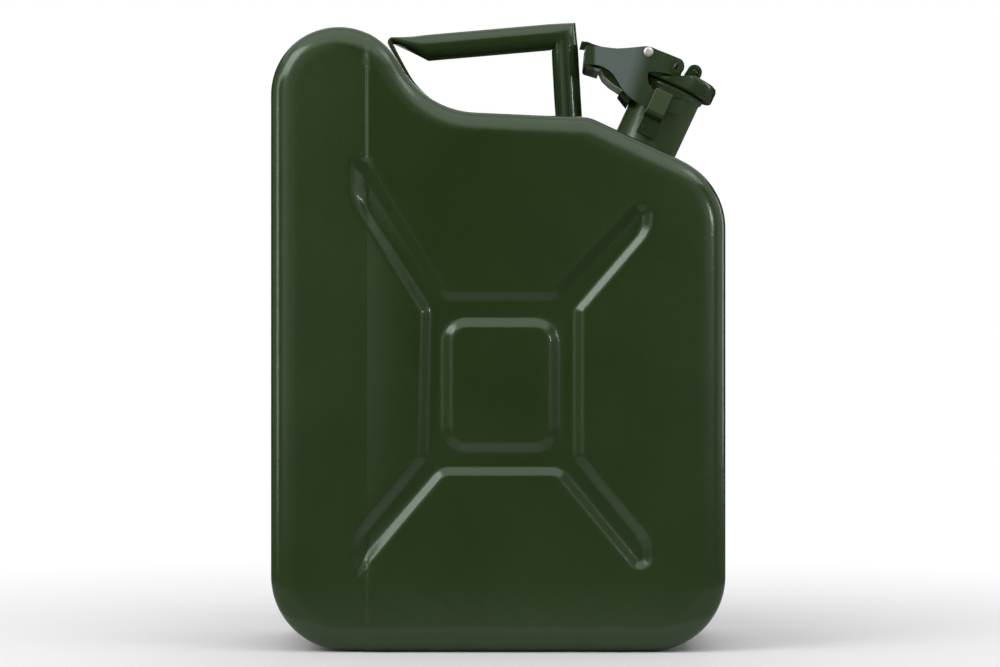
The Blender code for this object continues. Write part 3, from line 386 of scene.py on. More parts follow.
def painted_sheen_band(across, up):
    """Painted sheen: where the lever's paint is paler, in place of the reflection on its plate, between its
    hooked end and the bright pin.
    """
    slant = across - (up - SHEEN_LEVEL) * SHEEN_LEAN
    band = ((SHEEN_END_X - slant) / SHEEN_RUN).clamped() * ((across - SHEEN_START_X) / SHEEN_EDGE).clamped()
    return band * (1 - SHEEN_LEAST) + SHEEN_LEAST


def keeper_lit_face(across, up):
    """Painted highlight: the keepers' raised upper faces, above the line at which they bend, made paler as if
    lit.
    """
    level = up + (across - KEEPER_BEND_X) * math.tan(SHOULDER_SLOPE)
    return ((level - KEEPER_BEND_Z) / KEEPER_BLEND).clamped()


def green_enamel(name="green_enamel", paints=(PAINT_GREEN, PAINT_DEEP), where=None, pale=PAINT_SHEEN):
    """Glossy dip-coated enamel: orange peel, slow thickness waves and a faint dust bloom.

    The argument where gives the share of pale paint at a place: painted light, standing in for a sheen or a
    highlight.
    """
    f = Finish(name)
    light, deep = paints
    patches = f.noise(scale=16.0, detail=3.0)
    cloud = f.noise(scale=5.0)
    bloom = ((f.noise(scale=60.0, detail=4.0, roughness=0.6) - 0.52) * 2.2).clamped()
    colour = f.ramp(patches * 0.6 + cloud * 0.4, [(0.32, deep), (0.68, light)])
    gloss = 0.18 + (patches - 0.5) * 0.06 + bloom * 0.04
    if where:
        across, up = (f.number("ShaderNodeSeparateXYZ", None, {0: f.place}, output=k) for k in (0, 2))
        # Paler paint here is painted light: a painted sheen on the lever, a painted highlight on the keepers
        painted_light_share = where(across, up) * (0.85 + (patches - 0.5) * 1.2).clamped()
        colour = f.add("ShaderNodeMix", {"data_type": "RGBA"}, {0: painted_light_share, 6: colour, 7: pale}).outputs[2]
        gloss = gloss + painted_light_share * 0.14
    peel = f.noise(scale=330.0, roughness=0.55)
    wave = f.noise(scale=70.0, detail=1.0)
    dimples = f.noise(scale=1500.0, detail=1.0)
    return f.surface({"Base Color": colour, "Roughness": gloss, "IOR": 1.5,
                      "Specular Tint": (0.86, 1.0, 0.90, 1.0),
                      "Normal": f.bump(peel * 0.55 + wave * 0.9 + dimples * 0.05, distance=0.00011)})


def worn_steel():
    """Pale dull metal with a few darker streaks, used for the painted reflection under the latch."""
    f = Finish("worn_steel")
    streaks = f.noise(scale=180.0, detail=3.0)
    colour = f.ramp(streaks, [(0.30, (0.46, 0.46, 0.42, 1.0)), (0.62, (0.70, 0.70, 0.65, 1.0))])
    return f.surface({"Base Color": colour, "Metallic": 0.1, "Roughness": 0.42 + streaks * 0.2, "IOR": 1.5})


def zinc_steel():
    """Bright plated steel of the pins, with fine turning marks and dull spots."""
    f = Finish("zinc_steel")
    marks = f.noise(scale=900.0, roughness=0.6, stretch=(1.0, 0.15, 1.0))
    spots = f.noise(scale=420.0, detail=3.0)
    colour = f.ramp(spots, [(0.30, (0.52, 0.52, 0.49, 1.0)), (0.60, (0.74, 0.74, 0.72, 1.0))])
    return f.surface({"Base Color": colour, "Metallic": 0.6, "Roughness": 0.32 + marks * 0.16,
                      "Normal": f.bump(marks, distance=0.00004)})


def lining_steel():
    """Plain sheet inside the can, dulled by its lining lacquer."""
    f = Finish("lining_steel")
    stain = f.noise(scale=38.0, detail=4.0, roughness=0.6)
    colour = f.ramp(stain, [(0.30, (0.060, 0.050, 0.038, 1.0)), (0.70, (0.120, 0.100, 0.075, 1.0))])
    return f.surface({"Base Color": colour, "Metallic": 0.35, "Roughness": 0.42 + stain * 0.2,
                      "Normal": f.bump(f.noise(scale=600.0), distance=0.00005)})


def black_rubber():
    """Moulded fuel-proof rubber of the gasket."""
    f = Finish("black_rubber")
    grain = f.noise(scale=2400.0)
    chalk = f.noise(scale=90.0, detail=3.0)
    colour = f.ramp(chalk, [(0.35, (0.012, 0.012, 0.012, 1.0)), (0.75, (0.030, 0.029, 0.028, 1.0))])
    return f.surface({"Base Color": colour, "Roughness": 0.62 + chalk * 0.2,
                      "Normal": f.bump(grain, distance=0.00003)})


# Outlines

def meet(point, angle, other, other_angle):
    """Where two lines cross, each given by a point and a heading."""
    ax, az = math.cos(angle), math.sin(angle)
    bx, bz = math.cos(other_angle), math.sin(other_angle)
    along = ((other[0] - point[0]) * bz - (other[1] - point[1]) * bx) / (ax * bz - az * bx)
    return (point[0] + ax * along, point[1] + az * along)


def arc(centre, radius, start, end, steps):
    """Points along an arc, both ends included."""
    return [(centre[0] + radius * math.cos(start + (end - start) * i / steps),
             centre[1] + radius * math.sin(start + (end - start) * i / steps)) for i in range(steps + 1)]


def inset(corners, distance):
    """Moves every side of a cornered outline inwards; corners are (x, z, fillet radius)."""
    area = sum(a[0] * b[1] - b[0] * a[1] for a, b in zip(corners, corners[1:] + corners[:1]))
    side = math.copysign(1.0, area)
    moved = []
    for i, (x, z, radius) in enumerate(corners):
        before, after = corners[i - 1], corners[(i + 1) % len(corners)]
        a = Vector((x - before[0], z - before[1])).normalized()
        b = Vector((after[0] - x, after[1] - z)).normalized()
        in_a, in_b = Vector((-a.y, a.x)) * side, Vector((-b.y, b.x)) * side
        spot = Vector((x, z)) + (in_a + in_b) / (1.0 + in_a.dot(in_b)) * distance
        moved.append((spot.x, spot.y, radius - distance if a.cross(b) * side > 0 else radius + distance))
    return moved


def fillets(corners):
    """Centre, radius, first angle and turn of each corner's fillet."""
    found = []
    for i, (x, z, radius) in enumerate(corners):
        spot = Vector((x, z))
        a = (spot - Vector(corners[i - 1][:2])).normalized()
        b = (Vector(corners[(i + 1) % len(corners)][:2]) - spot).normalized()
        turn = math.atan2(a.cross(b), a.dot(b))
        start = spot - a * radius * math.tan(abs(turn) / 2)
        centre = start + Vector((-a.y, a.x)) * math.copysign(radius, turn)
        found.append((centre, radius, math.atan2(start.y - centre.y, start.x - centre.x), turn))
    return found


def rounded(corners, run=FINE_RUN, arc_step=FINE_ARC, like=None):
    """Even points of a filleted outline; like gives the outline whose lengths set the counts."""
    here, guide = fillets(corners), fillets(like or corners)
    arcs = [arc(c, r, first, first + turn, max(2, math.ceil(abs(turn) / arc_step)))
            for c, r, first, turn in here]
    guides = [arc(c, r, first, first + turn, 1) for c, r, first, turn in guide]
    points = []
    for i, bow in enumerate(arcs):
        j = (i + 1) % len(arcs)
        points += bow
        count = max(1, round(math.dist(guides[i][-1], guides[j][0]) / run))
        a, b = Vector(bow[-1]), Vector(arcs[j][0])
        points += [tuple(a.lerp(b, k / count)) for k in range(1, count)]
    return points


def body_corners():
    """The can's side outline as corners with fillet radii, clockwise from the lower rear."""
    half = BODY_WIDTH / 2
    dome_end = (-half + DOME_RADIUS + DOME_RADIUS * math.tan(SADDLE_SLOPE / 2), DOME_TOP)
    saddle = meet(dome_end, -SADDLE_SLOPE, DECK_END, math.pi - DECK_SLOPE)
    shoulder = meet(DECK_END, -SHOULDER_SLOPE, (half, 0.0), math.pi / 2)
    return [(-half, 0.0, BASE_RADIUS), (-half, DOME_TOP, DOME_RADIUS), (*dome_end, DOME_RADIUS),
            (*saddle, SADDLE_RADIUS), (*DECK_END, DECK_END_RADIUS), (*shoulder, SHOULDER_RADIUS),
            (half, 0.0, BASE_RADIUS)]


def island_corners():
    return [(ISLAND_X + sx * ISLAND_HALF_X, ISLAND_Z + sz * ISLAND_HALF_Z, ISLAND_CORNER)
            for sx, sz in ((-1, 1), (1, 1), (1, -1), (-1, -1))]


# Pressed shells

def inside_by(points, loop):
    """Signed distance of many points to a closed loop, positive inside."""
    a = np.array(loop)
    step = np.roll(a, -1, axis=0) - a
    gap = points[:, None, :] - a[None]
    t = np.clip((gap * step).sum(-1) / np.maximum((step * step).sum(-1), TINY), 0.0, 1.0)
    near = np.linalg.norm(gap - t[..., None] * step, axis=-1).min(axis=1)
    px, pz = points[:, 0:1], points[:, 1:2]
    run, rise = step[:, 0], step[:, 1]
    az, bz = a[:, 1], a[:, 1] + rise
    at_height = a[:, 0] + (pz - az) / np.where(rise == 0, TINY, rise) * run
    crosses = ((az > pz) != (bz > pz)) & (px < at_height)
    return np.where(crosses.sum(axis=1) % 2 == 1, near, -near)


def eased(t):
    """A soft step from 0 to 1."""
    t = np.clip(t, 0.0, 1.0)
    return t * t * (3.0 - 2.0 * t)


def ramp(t):
    """A straight ramp from 0 to 1 whose two ends are bent softly."""
    def bend(x):
        return (x + np.sqrt(x * x + CHANNEL_EASE * CHANNEL_EASE)) / 2.0
    return np.clip(bend(t) - bend(t - 1.0), 0.0, 1.0)


def column_drop(x):
    """How far the rear column lies below the rest of the side."""
    step = COLUMN_DROP * eased((COLUMN_EDGE_X + COLUMN_STEP / 2 - x) / COLUMN_STEP)
    return step + np.maximum(0.0, COLUMN_EDGE_X - x) * math.tan(COLUMN_TILT)


def crown(x):
    """How far the panel between the two left arms has sunk towards the column."""
    run = np.clip((PANEL_CROWN_X - x) / (PANEL_CROWN_X - COLUMN_EDGE_X), 0.0, 1.0)
    return COLUMN_DROP * run * run


def side_drop(points):
    """The column's drop, with the panel between the two left arms crowned towards it."""
    x, z = points[:, 0], points[:, 1]
    upper = LEFT_ARM_TOP[1] + (LEFT_ARM_TOP[0] - x) * LEFT_ARM_TOP[2]
    lower = LEFT_ARM_BOTTOM[1] - (LEFT_ARM_BOTTOM[0] - x) * LEFT_ARM_BOTTOM[2]
    between = (z < upper) & (z > lower) & (x < 0.0)
    return np.where(between, np.maximum(crown(x), column_drop(x)), column_drop(x))


def pressed_depth(points):
    """How deep the side lies below its highest level, channels and column together."""
    opening = rounded(inset(CHANNEL_CORNERS, -CHANNEL_WALL / 2), 1.0)
    into = inside_by(points, opening) / CHANNEL_WALL
    off_island = -inside_by(points, rounded(island_corners(), 1.0)) / ISLAND_WALL
    drop, x = side_drop(points), points[:, 0]
    tips = eased((REACH_LEFT + x) / RUN_OUT_LEFT)
    height = np.maximum(CHANNEL_DEPTH + crown(x) - drop, 0.0)
    return drop + height * tips * np.minimum(ramp(into), ramp(off_island))


def wall_section():
    """Outer and inner points of a shell's wall, each (inset, distance from the seam plane)."""
    half, seam = BODY_DEPTH / 2, SEAT_GAP / 2
    roll = half - RIM_RADIUS
    groove = GROOVE_HALF_WIDTH - GROOVE_FLOOR
    outer = [(WELD_FLANGE_INSET, seam), (WELD_FLANGE_INSET, seam + SHEET), (GROOVE_DEPTH, seam + SHEET)]
    quarter = math.pi / 2
    outer += [(GROOVE_DEPTH - d, z)
              for d, z in arc((0.0, GROOVE_HALF_WIDTH), groove, -quarter, 0.0, SECTION_STEPS)]
    outer += [(0.0, GROOVE_HALF_WIDTH + (roll - GROOVE_HALF_WIDTH) * i / SECTION_STEPS)
              for i in range(1, SECTION_STEPS)]
    outer += [(RIM_RUN * (1 - c), roll + RIM_RADIUS * s)
              for c, s in arc((0.0, 0.0), 1.0, 0.0, quarter, RIM_STEPS)]
    inner = [(RIM_RUN - (RIM_RUN - SHEET) * c, roll + (RIM_RADIUS - SHEET) * s)
             for c, s in arc((0.0, 0.0), 1.0, quarter, 0.0, SECTION_STEPS)]
    inner += [(GROOVE_DEPTH - d, z)
              for d, z in arc((0.0, GROOVE_HALF_WIDTH), groove - SHEET, 0.0, -quarter, SECTION_STEPS // 2)]
    inner += [(GROOVE_DEPTH + SHEET, GROOVE_FLOOR + SHEET), (GROOVE_DEPTH + SHEET, seam)]
    return outer, inner


def face_points(boundary, grain):
    """Points and edges of a shell's side: its rim, the contours of the walls and an even filling."""
    island = island_corners()
    run, turn, contours = grain["run"], grain["turn"], grain["contours"]
    loops = [rounded(inset(CHANNEL_CORNERS, CHANNEL_WALL * (t - 0.5)), run, turn, CHANNEL_CORNERS)
             for t in contours]
    loops += [rounded(inset(island, -ISLAND_WALL * t), run, turn, island) for t in contours]
    points, edges = list(map(tuple, boundary)), []
    for loop in [None] + loops:
        first = 0 if loop is None else len(points)
        points += loop or []
        count = len(points) - first
        edges += [(first + i, first + (i + 1) % count) for i in range(count)]
    return points + [tuple(p) for p in filling(boundary, grain)], edges


def filling(boundary, grain):
    """An even grid of points clear of the rim and the walls, closer along the column's edge."""
    spacing = grain["spacing"]
    edge = np.array(boundary)
    low, high = edge.min(axis=0), edge.max(axis=0)
    rows = np.arange(low[1], high[1], spacing * math.sqrt(3) / 2)
    grid = np.array([(x, z) for k, z in enumerate(rows)
                     for x in np.arange(low[0] + (k % 2) * spacing / 2, high[0], spacing)])
    clear = spacing * GRID_CLEARANCE
    if grain["creases"]:
        crease = COLUMN_EDGE_X + np.linspace(-CREASE_REACH, CREASE_REACH, grain["creases"]) * COLUMN_STEP
        grid = grid[np.abs(grid[:, 0] - COLUMN_EDGE_X) > COLUMN_STEP * CREASE_REACH + clear]
        grid = np.vstack([grid, [(x, z) for z in rows for x in crease]])
    grid = grid[inside_by(grid, boundary) > clear]
    reach = max(grain["contours"])
    to_wall = np.abs(inside_by(grid, rounded(CHANNEL_CORNERS, 1.0)))
    off_island = -inside_by(grid, rounded(island_corners(), 1.0))
    past_wall = to_wall > CHANNEL_WALL * (reach - 0.5) + clear
    on_island = off_island < -ISLAND_WALL * (reach - 1.0) - clear
    return grid[past_wall & (on_island | (off_island > ISLAND_WALL * reach + clear))]


def shell_wall(side, section):
    """Points of a shell's wall, and the first point's number and the outline of each of its rims."""
    corners = body_corners()
    verts, rims = [], []
    for distance, depth in section:
        loop = np.array(rounded(inset(corners, distance), like=corners))
        lean = 1.0 - column_drop(loop[:, 0]) / (BODY_DEPTH / 2) * (depth > GROOVE_HALF_WIDTH + SHEET)
        rims.append((len(verts), loop))
        verts += [(x, side * depth * s, z) for (x, z), s in zip(loop, lean)]
    return verts, rims


def fill_side(verts, faces, rim, level, side, grain):
    """Closes a rim with the pressed side, whose highest level is given."""
    first, outline = rim
    count = len(outline)
    points, edges = face_points(outline.tolist(), grain)
    spots, _, fill, sources, _, _ = delaunay_2d_cdt([Vector(p) for p in points], edges, [], 1, FILL_TOLERANCE)
    flat = np.array([(s.x, s.y) for s in spots])
    across = side * (level - pressed_depth(flat))
    index = []
    for (x, z), y, source in zip(flat, across, sources):
        shared = [s for s in source if s < count]
        index.append(first + shared[0] if shared else len(verts))
        if not shared:
            verts.append((x, y, z))
    faces += [tuple(index[i] for i in face) for face in fill]


def half_shell(name, side, green, lining):
    """One deep-drawn half of the can with its seam flange, groove, rim and pressed side."""
    outer, inner = wall_section()
    verts, rims = shell_wall(side, outer + inner)
    count = len(rims[0][1])
    faces = []
    for k in range(len(rims)):
        if k == len(outer) - 1:
            continue
        a, b = rims[k][0], rims[(k + 1) % len(rims)][0]
        faces += [(a + i, a + (i + 1) % count, b + (i + 1) % count, b + i) for i in range(count)]
    fill_side(verts, faces, rims[len(outer) - 1], outer[-1][1], side, OUTER_GRAIN)
    fill_side(verts, faces, rims[len(outer)], inner[0][1], side, INNER_GRAIN)
    made = bmesh.new()
    spots = [made.verts.new(v) for v in verts]
    for face in faces:
        made.faces.new([spots[i] for i in face])
    bmesh.ops.recalc_face_normals(made, faces=made.faces)
    shell = new_piece(name, made, green)
    shell.data.materials.append(lining)
    cut_hole(shell)
    return shell


def cut_hole(shell):
    """Opens a shell under the neck."""
    reach, radius = 2 * NECK_INSIDE, NECK_RADIUS + SEAT_GAP
    plug = lathe([(0, -reach), (radius, -reach), (radius, reach), (0, reach)], PLUG_SIDES)
    tool = new_piece("neck_plug", plug)
    tool.data.transform(neck_frame())
    change = shell.modifiers.new("hole", "BOOLEAN")
    change.operation, change.object, change.solver = "DIFFERENCE", tool, "EXACT"
    settle(shell)
    bpy.data.objects.remove(tool, do_unlink=True)


# Mesh helpers

def new_object(name, data):
    """A named object in the scene, at the origin."""
    made = bpy.data.objects.new(name, data)
    bpy.context.scene.collection.objects.link(made)
    return made


def new_piece(name, made, material=None, sharp=SHEET_CREASE):
    """Turns a bmesh into an object with smooth shading."""
    mesh = bpy.data.meshes.new(name)
    made.to_mesh(mesh)
    made.free()
    piece = new_object(name, mesh)
    if material:
        mesh.materials.append(material)
    smooth(mesh, sharp)
    return piece


def smooth(mesh, sharp):
    """Shades a mesh smooth, except over edges sharper than an angle in degrees."""
    mesh.shade_smooth()
    mesh.set_sharp_from_angle(angle=math.radians(sharp))


def settle(piece, sharp=SHEET_CREASE):
    """Replaces a piece's mesh by its evaluated one and drops its modifiers."""
    graph = bpy.context.evaluated_depsgraph_get()
    mesh = bpy.data.meshes.new_from_object(piece.evaluated_get(graph))
    piece.modifiers.clear()
    piece.data = mesh
    smooth(mesh, sharp)
    return piece


def lathe(profile, sides, closed=False):
    """Turns (radius, height) points about the upright axis; closed joins the last to the first."""
    made = bmesh.new()
    rings = []
    for radius, height in profile:
        spots = 1 if radius < ON_AXIS else sides
        rings.append([made.verts.new((radius * math.cos(2 * math.pi * k / sides),
                                      radius * math.sin(2 * math.pi * k / sides), height))
                      for k in range(spots)])
    for lower, upper in zip(rings, rings[1:] + rings[:1] if closed else rings[1:]):
        bridge(made, lower, upper)
    bmesh.ops.recalc_face_normals(made, faces=made.faces)
    return made


def bridge(made, lower, upper):
    """Joins two rings of one count, or a ring and a pole."""
    count = max(len(lower), len(upper))
    for i in range(count if count > 1 else 0):
        j = (i + 1) % count
        corners = [lower[i % len(lower)], lower[j % len(lower)],
                   upper[j % len(upper)], upper[i % len(upper)]]
        made.faces.new(list(dict.fromkeys(corners)))


def neck_frame():
    """Places neck coordinates (u, y, w) in the can's frame."""
    foot = shoulder_point(NECK_ALONG)
    return Matrix.Translation((foot[0], 0.0, foot[1])) @ Matrix.Rotation(SHOULDER_SLOPE, 4, "Y")


def shoulder_point(along):
    """Place (x, z) on the shoulder, so far down its slope."""
    return (DECK_END[0] + along * math.cos(SHOULDER_SLOPE),
            DECK_END[1] - along * math.sin(SHOULDER_SLOPE))


def deck_height(x):
    """Height of the deck's sloping top at a place along the can."""
    return DECK_END[1] + (DECK_END[0] - x) * math.tan(DECK_SLOPE)


def dress(piece, body, slot, *nodes):
    """Hands a finished piece to the frame in place of CAD nodes."""
    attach(piece, body)
    if nodes:
        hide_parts(*nodes)
    return piece


def softened(node, name, width, material):
    """A CAD node's form with its facets merged and every edge rounded over."""
    made = bmesh.new()
    made.from_mesh(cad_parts[node].data)
    bmesh.ops.remove_doubles(made, verts=made.verts, dist=SAME_PLACE)
    bmesh.ops.dissolve_limit(made, angle_limit=FACET_ANGLE, verts=made.verts, edges=made.edges)
    piece = new_piece(name, made, material)
    change = piece.modifiers.new("soft_edges", "BEVEL")
    change.width, change.segments, change.limit_method = width, 2, "ANGLE"
    change.angle_limit = EDGE_ANGLE
    change.use_clamp_overlap = True
    settle(piece, TURNED_CREASE)
    piece.data.materials.clear()
    piece.data.materials.append(material)
    return even_shading(piece)


def even_shading(piece):
    """Lets the large faces lead the shading, so that flat sheet looks flat."""
    change = piece.modifiers.new("even_shading", "WEIGHTED_NORMAL")
    change.keep_sharp, change.weight = True, 80
    return settle(piece, TURNED_CREASE)


# Tubes, beads and coils

def path_piece(name, points, tree, inputs, closed=False):
    """Runs a Geometry Nodes tree along a path and keeps the plain mesh."""
    mesh = bpy.data.meshes.new(name)
    edges = [(i, i + 1) for i in range(len(points) - 1)] + ([(len(points) - 1, 0)] if closed else [])
    mesh.from_pydata([tuple(p) for p in points], edges, [])
    piece = new_object(name, mesh)
    change = piece.modifiers.new(tree.name, "NODES")
    change.node_group = tree
    for item in tree.interface.items_tree:
        if item.name in inputs:
            change[item.identifier] = inputs[item.name]
    return settle(piece, WIRE_CREASE)


def named_tree(name, inputs):
    """An empty Geometry Nodes tree with named number inputs."""
    tree = bpy.data.node_groups.new(name, "GeometryNodeTree")
    tree.interface.new_socket("Geometry", in_out="INPUT", socket_type="NodeSocketGeometry")
    tree.interface.new_socket("Geometry", in_out="OUTPUT", socket_type="NodeSocketGeometry")
    for title, value in inputs.items():
        kind = "NodeSocketInt" if isinstance(value, int) else "NodeSocketFloat"
        tree.interface.new_socket(title, in_out="INPUT", socket_type=kind).default_value = value
    nodes = Nodes(tree)
    return nodes, nodes.add("NodeGroupInput").outputs, nodes.add("NodeGroupOutput").inputs


def weld_bead_tree(material):
    """A fillet of weld along a path: a round bead with overlapping ripples of uneven size."""
    n, given, result = named_tree("weld_bead", {"Width": 0.0016, "Ripple": 0.0016, "Unevenness": 0.22,
                                                "Seed": 1})
    line = n.add("GeometryNodeMeshToCurve", None, {"Mesh": given["Geometry"]}).outputs[0]
    fine = n.add("GeometryNodeResampleCurve", {"mode": "LENGTH"},
                 {"Curve": line, "Length": Number(n, given["Ripple"]) * 0.2}).outputs[0]
    along = n.number("GeometryNodeSplineParameter", output=1)
    ripple = (along / Number(n, given["Ripple"]) * 2 * math.pi).sine() * 0.10
    drift = n.number("ShaderNodeTexNoise", {"noise_dimensions": "4D"},
                     {"W": Number(n, given["Seed"]), "Scale": 260.0, "Detail": 1.0}) - 0.5
    girth = (1.0 + ripple + drift * Number(n, given["Unevenness"]) * 2.0) * Number(n, given["Width"])
    return swept(n, fine, WELD_SIDES, girth, material, result)


def wire_tree(name, material, sides):
    """A round wire or pipe along a path whose corners are bent to a radius."""
    n, given, result = named_tree(name, {"Radius": 0.003, "Bend": 0.004, "Smoothness": 6})
    line = n.add("GeometryNodeMeshToCurve", None, {"Mesh": given["Geometry"]}).outputs[0]
    bent = n.add("GeometryNodeFilletCurve", {"mode": "POLY"},
                 {"Curve": line, "Count": given["Smoothness"], "Radius": given["Bend"], "Limit Radius": True})
    return swept(n, bent.outputs[0], sides, given["Radius"], material, result)


def swept(n, line, sides, radius, material, result):
    """Ends a tree: a round section along a line, made real geometry with its material."""
    section = n.add("GeometryNodeCurvePrimitiveCircle", {"mode": "RADIUS"},
                    {"Resolution": sides, "Radius": 1.0}).outputs[0]
    pipe = n.add("GeometryNodeCurveToMesh", None, {"Curve": line, "Profile Curve": section, "Scale": radius,
                                                   "Fill Caps": True}).outputs[0]
    real = n.add("GeometryNodeRealizeInstances", None, {"Geometry": pipe}).outputs[0]
    done = n.add("GeometryNodeSetMaterial", None, {"Geometry": real, "Material": material}).outputs[0]
    n.tree.links.new(done, result[0])
    return n.tree


# Handle

def saddle_centre():
    """Centre of the hollow arc between the dome and the deck."""
    before, spot, after = (Vector(body_corners()[i][:2]) for i in (2, 3, 4))
    a, b = (spot - before).normalized(), (after - spot).normalized()
    start = spot - a * SADDLE_RADIUS * math.tan(a.angle(b) / 2)
    return start + Vector((-a.y, a.x)) * SADDLE_RADIUS, a


def towards(angle):
    """The direction of a heading, as (x, z)."""
    return Vector((math.cos(angle), math.sin(angle)))


def tongue_stations(flat):
    """The flat tongue, with its rounded end, in the saddle's hollow and on up the steep side."""
    centre, steep = saddle_centre()
    ride = SADDLE_RADIUS - SEAT_GAP - TONGUE_THICKNESS / 2
    normal = math.atan2(-steep.x, steep.y)
    stations = []
    for i in range(TONGUE_STEPS + 1):
        angle = normal + TONGUE_ARC * (1 - i / TONGUE_STEPS)
        tip = max(0.0, 1.0 - (i + TONGUE_TIP_START) / TONGUE_TIP_STEPS)
        round_end = math.sqrt(1.0 - tip ** 2)
        stations.append((centre + towards(angle) * ride, angle - math.pi / 2, flat[0] * round_end, flat[1]))
    rise = math.atan2(-steep.y, -steep.x)
    root = stations[-1][0]
    return stations + [(root - steep * TONGUE_LENGTH * i / TONGUE_RISE_STEPS, rise, *flat)
                       for i in range(1, TONGUE_RISE_STEPS + 1)]


def hairpin_stations(root, rise, flat):
    """The tight bend from the tongue into the grip."""
    pivot = root + towards(rise - math.pi / 2) * HAIRPIN_RADIUS
    headings = [rise + (GRIP_SLOPE - rise) * i / HAIRPIN_STEPS for i in range(1, HAIRPIN_STEPS + 1)]
    return [(pivot + towards(a + math.pi / 2) * HAIRPIN_RADIUS, a, *flat) for a in headings]


def pinch_stations(start, corner, flat, full):
    """The run on which the flat tube opens into the round grip."""
    full_x = start.x + PINCH_LENGTH
    end = Vector((full_x, corner.y - (corner.x - full_x) * math.tan(GRIP_SLOPE)))
    stations = []
    for i in range(1, PINCH_STEPS + 1):
        t = i / PINCH_STEPS
        width, height = flat[0] + (full - flat[0]) * eased(t), flat[1] + (full - flat[1]) * t
        top_edge = (start.y + flat[1]) * (1 - t) + (end.y + full) * t
        stations.append((Vector((start.x + PINCH_LENGTH * t, top_edge - height)), GRIP_SLOPE, width, height))
    return stations


def leg_stations(last, corner, full):
    """The round grip, its mitred corner and the front leg down to the foot's plate."""
    near, low = full + MITRE_EASE, -math.pi / 2 + LEG_LEAN
    stops = (*GRIP_STOPS, 1 - near / (corner - last).length)
    stations = [(last.lerp(corner, t), GRIP_SLOPE, full, full) for t in stops]
    mitre = full / math.cos((GRIP_SLOPE - low) / 2) * MITRE_FULLNESS
    stations.append((corner, (GRIP_SLOPE + low) / 2, full, mitre))
    stations += [(corner + towards(low) * d, low, full, full) for d in (near, *LEG_STOPS)]
    foot = Vector((LEG_X, deck_height(LEG_X) + 2 * SEAT_GAP + FOOT_THICKNESS))
    return stations + [(foot, -math.pi / 2 - DECK_SLOPE, full, full)]


def handle_stations():
    """Centre, heading, half width and half height along the handle, tongue first."""
    flat = (TONGUE_WIDTH / 2, TONGUE_THICKNESS / 2)
    full = GRIP_DIAMETER / 2
    corner = Vector((LEG_X - (HANDLE_CORNER_Z - DECK_END[1]) * math.tan(LEG_LEAN), HANDLE_CORNER_Z))
    stations = tongue_stations(flat)
    stations += hairpin_stations(*stations[-1][:2], flat)
    stations += pinch_stations(stations[-1][0], corner, flat, full)
    return stations + leg_stations(stations[-1][0], corner, full)


def handle(green):
    """One bent tube: round grip and front leg, pinched flat into a tongue at the rear."""
    made = bmesh.new()
    rings = []
    for spot, heading, half_width, half_height in handle_stations():
        normal = towards(heading + math.pi / 2)
        opened = (half_height * 2 - TONGUE_THICKNESS) / (GRIP_DIAMETER - TONGUE_THICKNESS)
        roundness = 0.5 + 0.5 * min(1.0, max(0.0, opened) * ROUND_SOONER)
        ring = []
        for k in range(HANDLE_SIDES):
            angle = 2 * math.pi * k / HANDLE_SIDES
            c, s = math.cos(angle), math.sin(angle)
            out = normal * half_height * math.copysign(abs(s) ** roundness, s)
            across = half_width * math.copysign(abs(c) ** roundness, c)
            ring.append(made.verts.new((spot.x + out.x, across, spot.y + out.y)))
        rings.append(ring)
    for lower, upper in zip(rings, rings[1:]):
        bridge(made, lower, upper)
    made.faces.new(rings[0])
    made.faces.new(reversed(rings[-1]))
    bmesh.ops.recalc_face_normals(made, faces=made.faces)
    return new_piece("handle_tube", made, green, TURNED_CREASE)


# Neck

def neck(green):
    """The pouring neck with its rolled lip."""
    inner = NECK_RADIUS - NECK_WALL
    middle = NECK_HEIGHT - LIP_RADIUS
    profile = [(inner, -NECK_INSIDE), (NECK_RADIUS, -NECK_INSIDE),
               (NECK_RADIUS, middle - LIP_RADIUS * LIP_FOOT_OUTSIDE)]
    profile += arc((NECK_RADIUS - LIP_INSET, middle), LIP_RADIUS, LIP_START, math.pi, RIM_STEPS)
    profile += [(inner, middle - LIP_RADIUS * LIP_FOOT_INSIDE)]
    return new_piece("neck_pipe", lathe(profile, TURNED_SIDES, closed=True), green, TURNED_CREASE)


def collar(green):
    """Welded seat ring whose outer edge runs out softly on the shoulder."""
    inner = NECK_RADIUS + SEAT_GAP
    outer = inner + COLLAR_WIDTH
    low, high = SEAT_GAP, SEAT_GAP + COLLAR_THICKNESS
    profile = [(inner, low), (outer, low)]
    profile += [(outer - COLLAR_THICKNESS * COLLAR_ROUND * (1 - math.cos(a)),
                 low + COLLAR_THICKNESS * math.sin(a)) for a in map(math.radians, COLLAR_TURNS)]
    profile += [(outer - COLLAR_SLANT, high), (inner, high)]
    return new_piece("neck_seat", lathe(profile, TURNED_SIDES, closed=True), green, TURNED_CREASE)


# Studio

def studio():
    """Pale floor, soft lamps, white surroundings and the cards that only gloss meets."""
    floor = sheet_of("floor", [(x * FLOOR_HALF, y * FLOOR_HALF, FLOOR_Z)
                               for x, y in ((-1, -1), (1, -1), (1, 1), (-1, 1))])
    floor.data.materials.append(floor_white())
    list(reflected_cards())
    for lamp in LAMPS:
        soft_lamp(*lamp)
    surroundings()
    aim_camera()
    bpy.context.scene.view_settings.view_transform = "Standard"


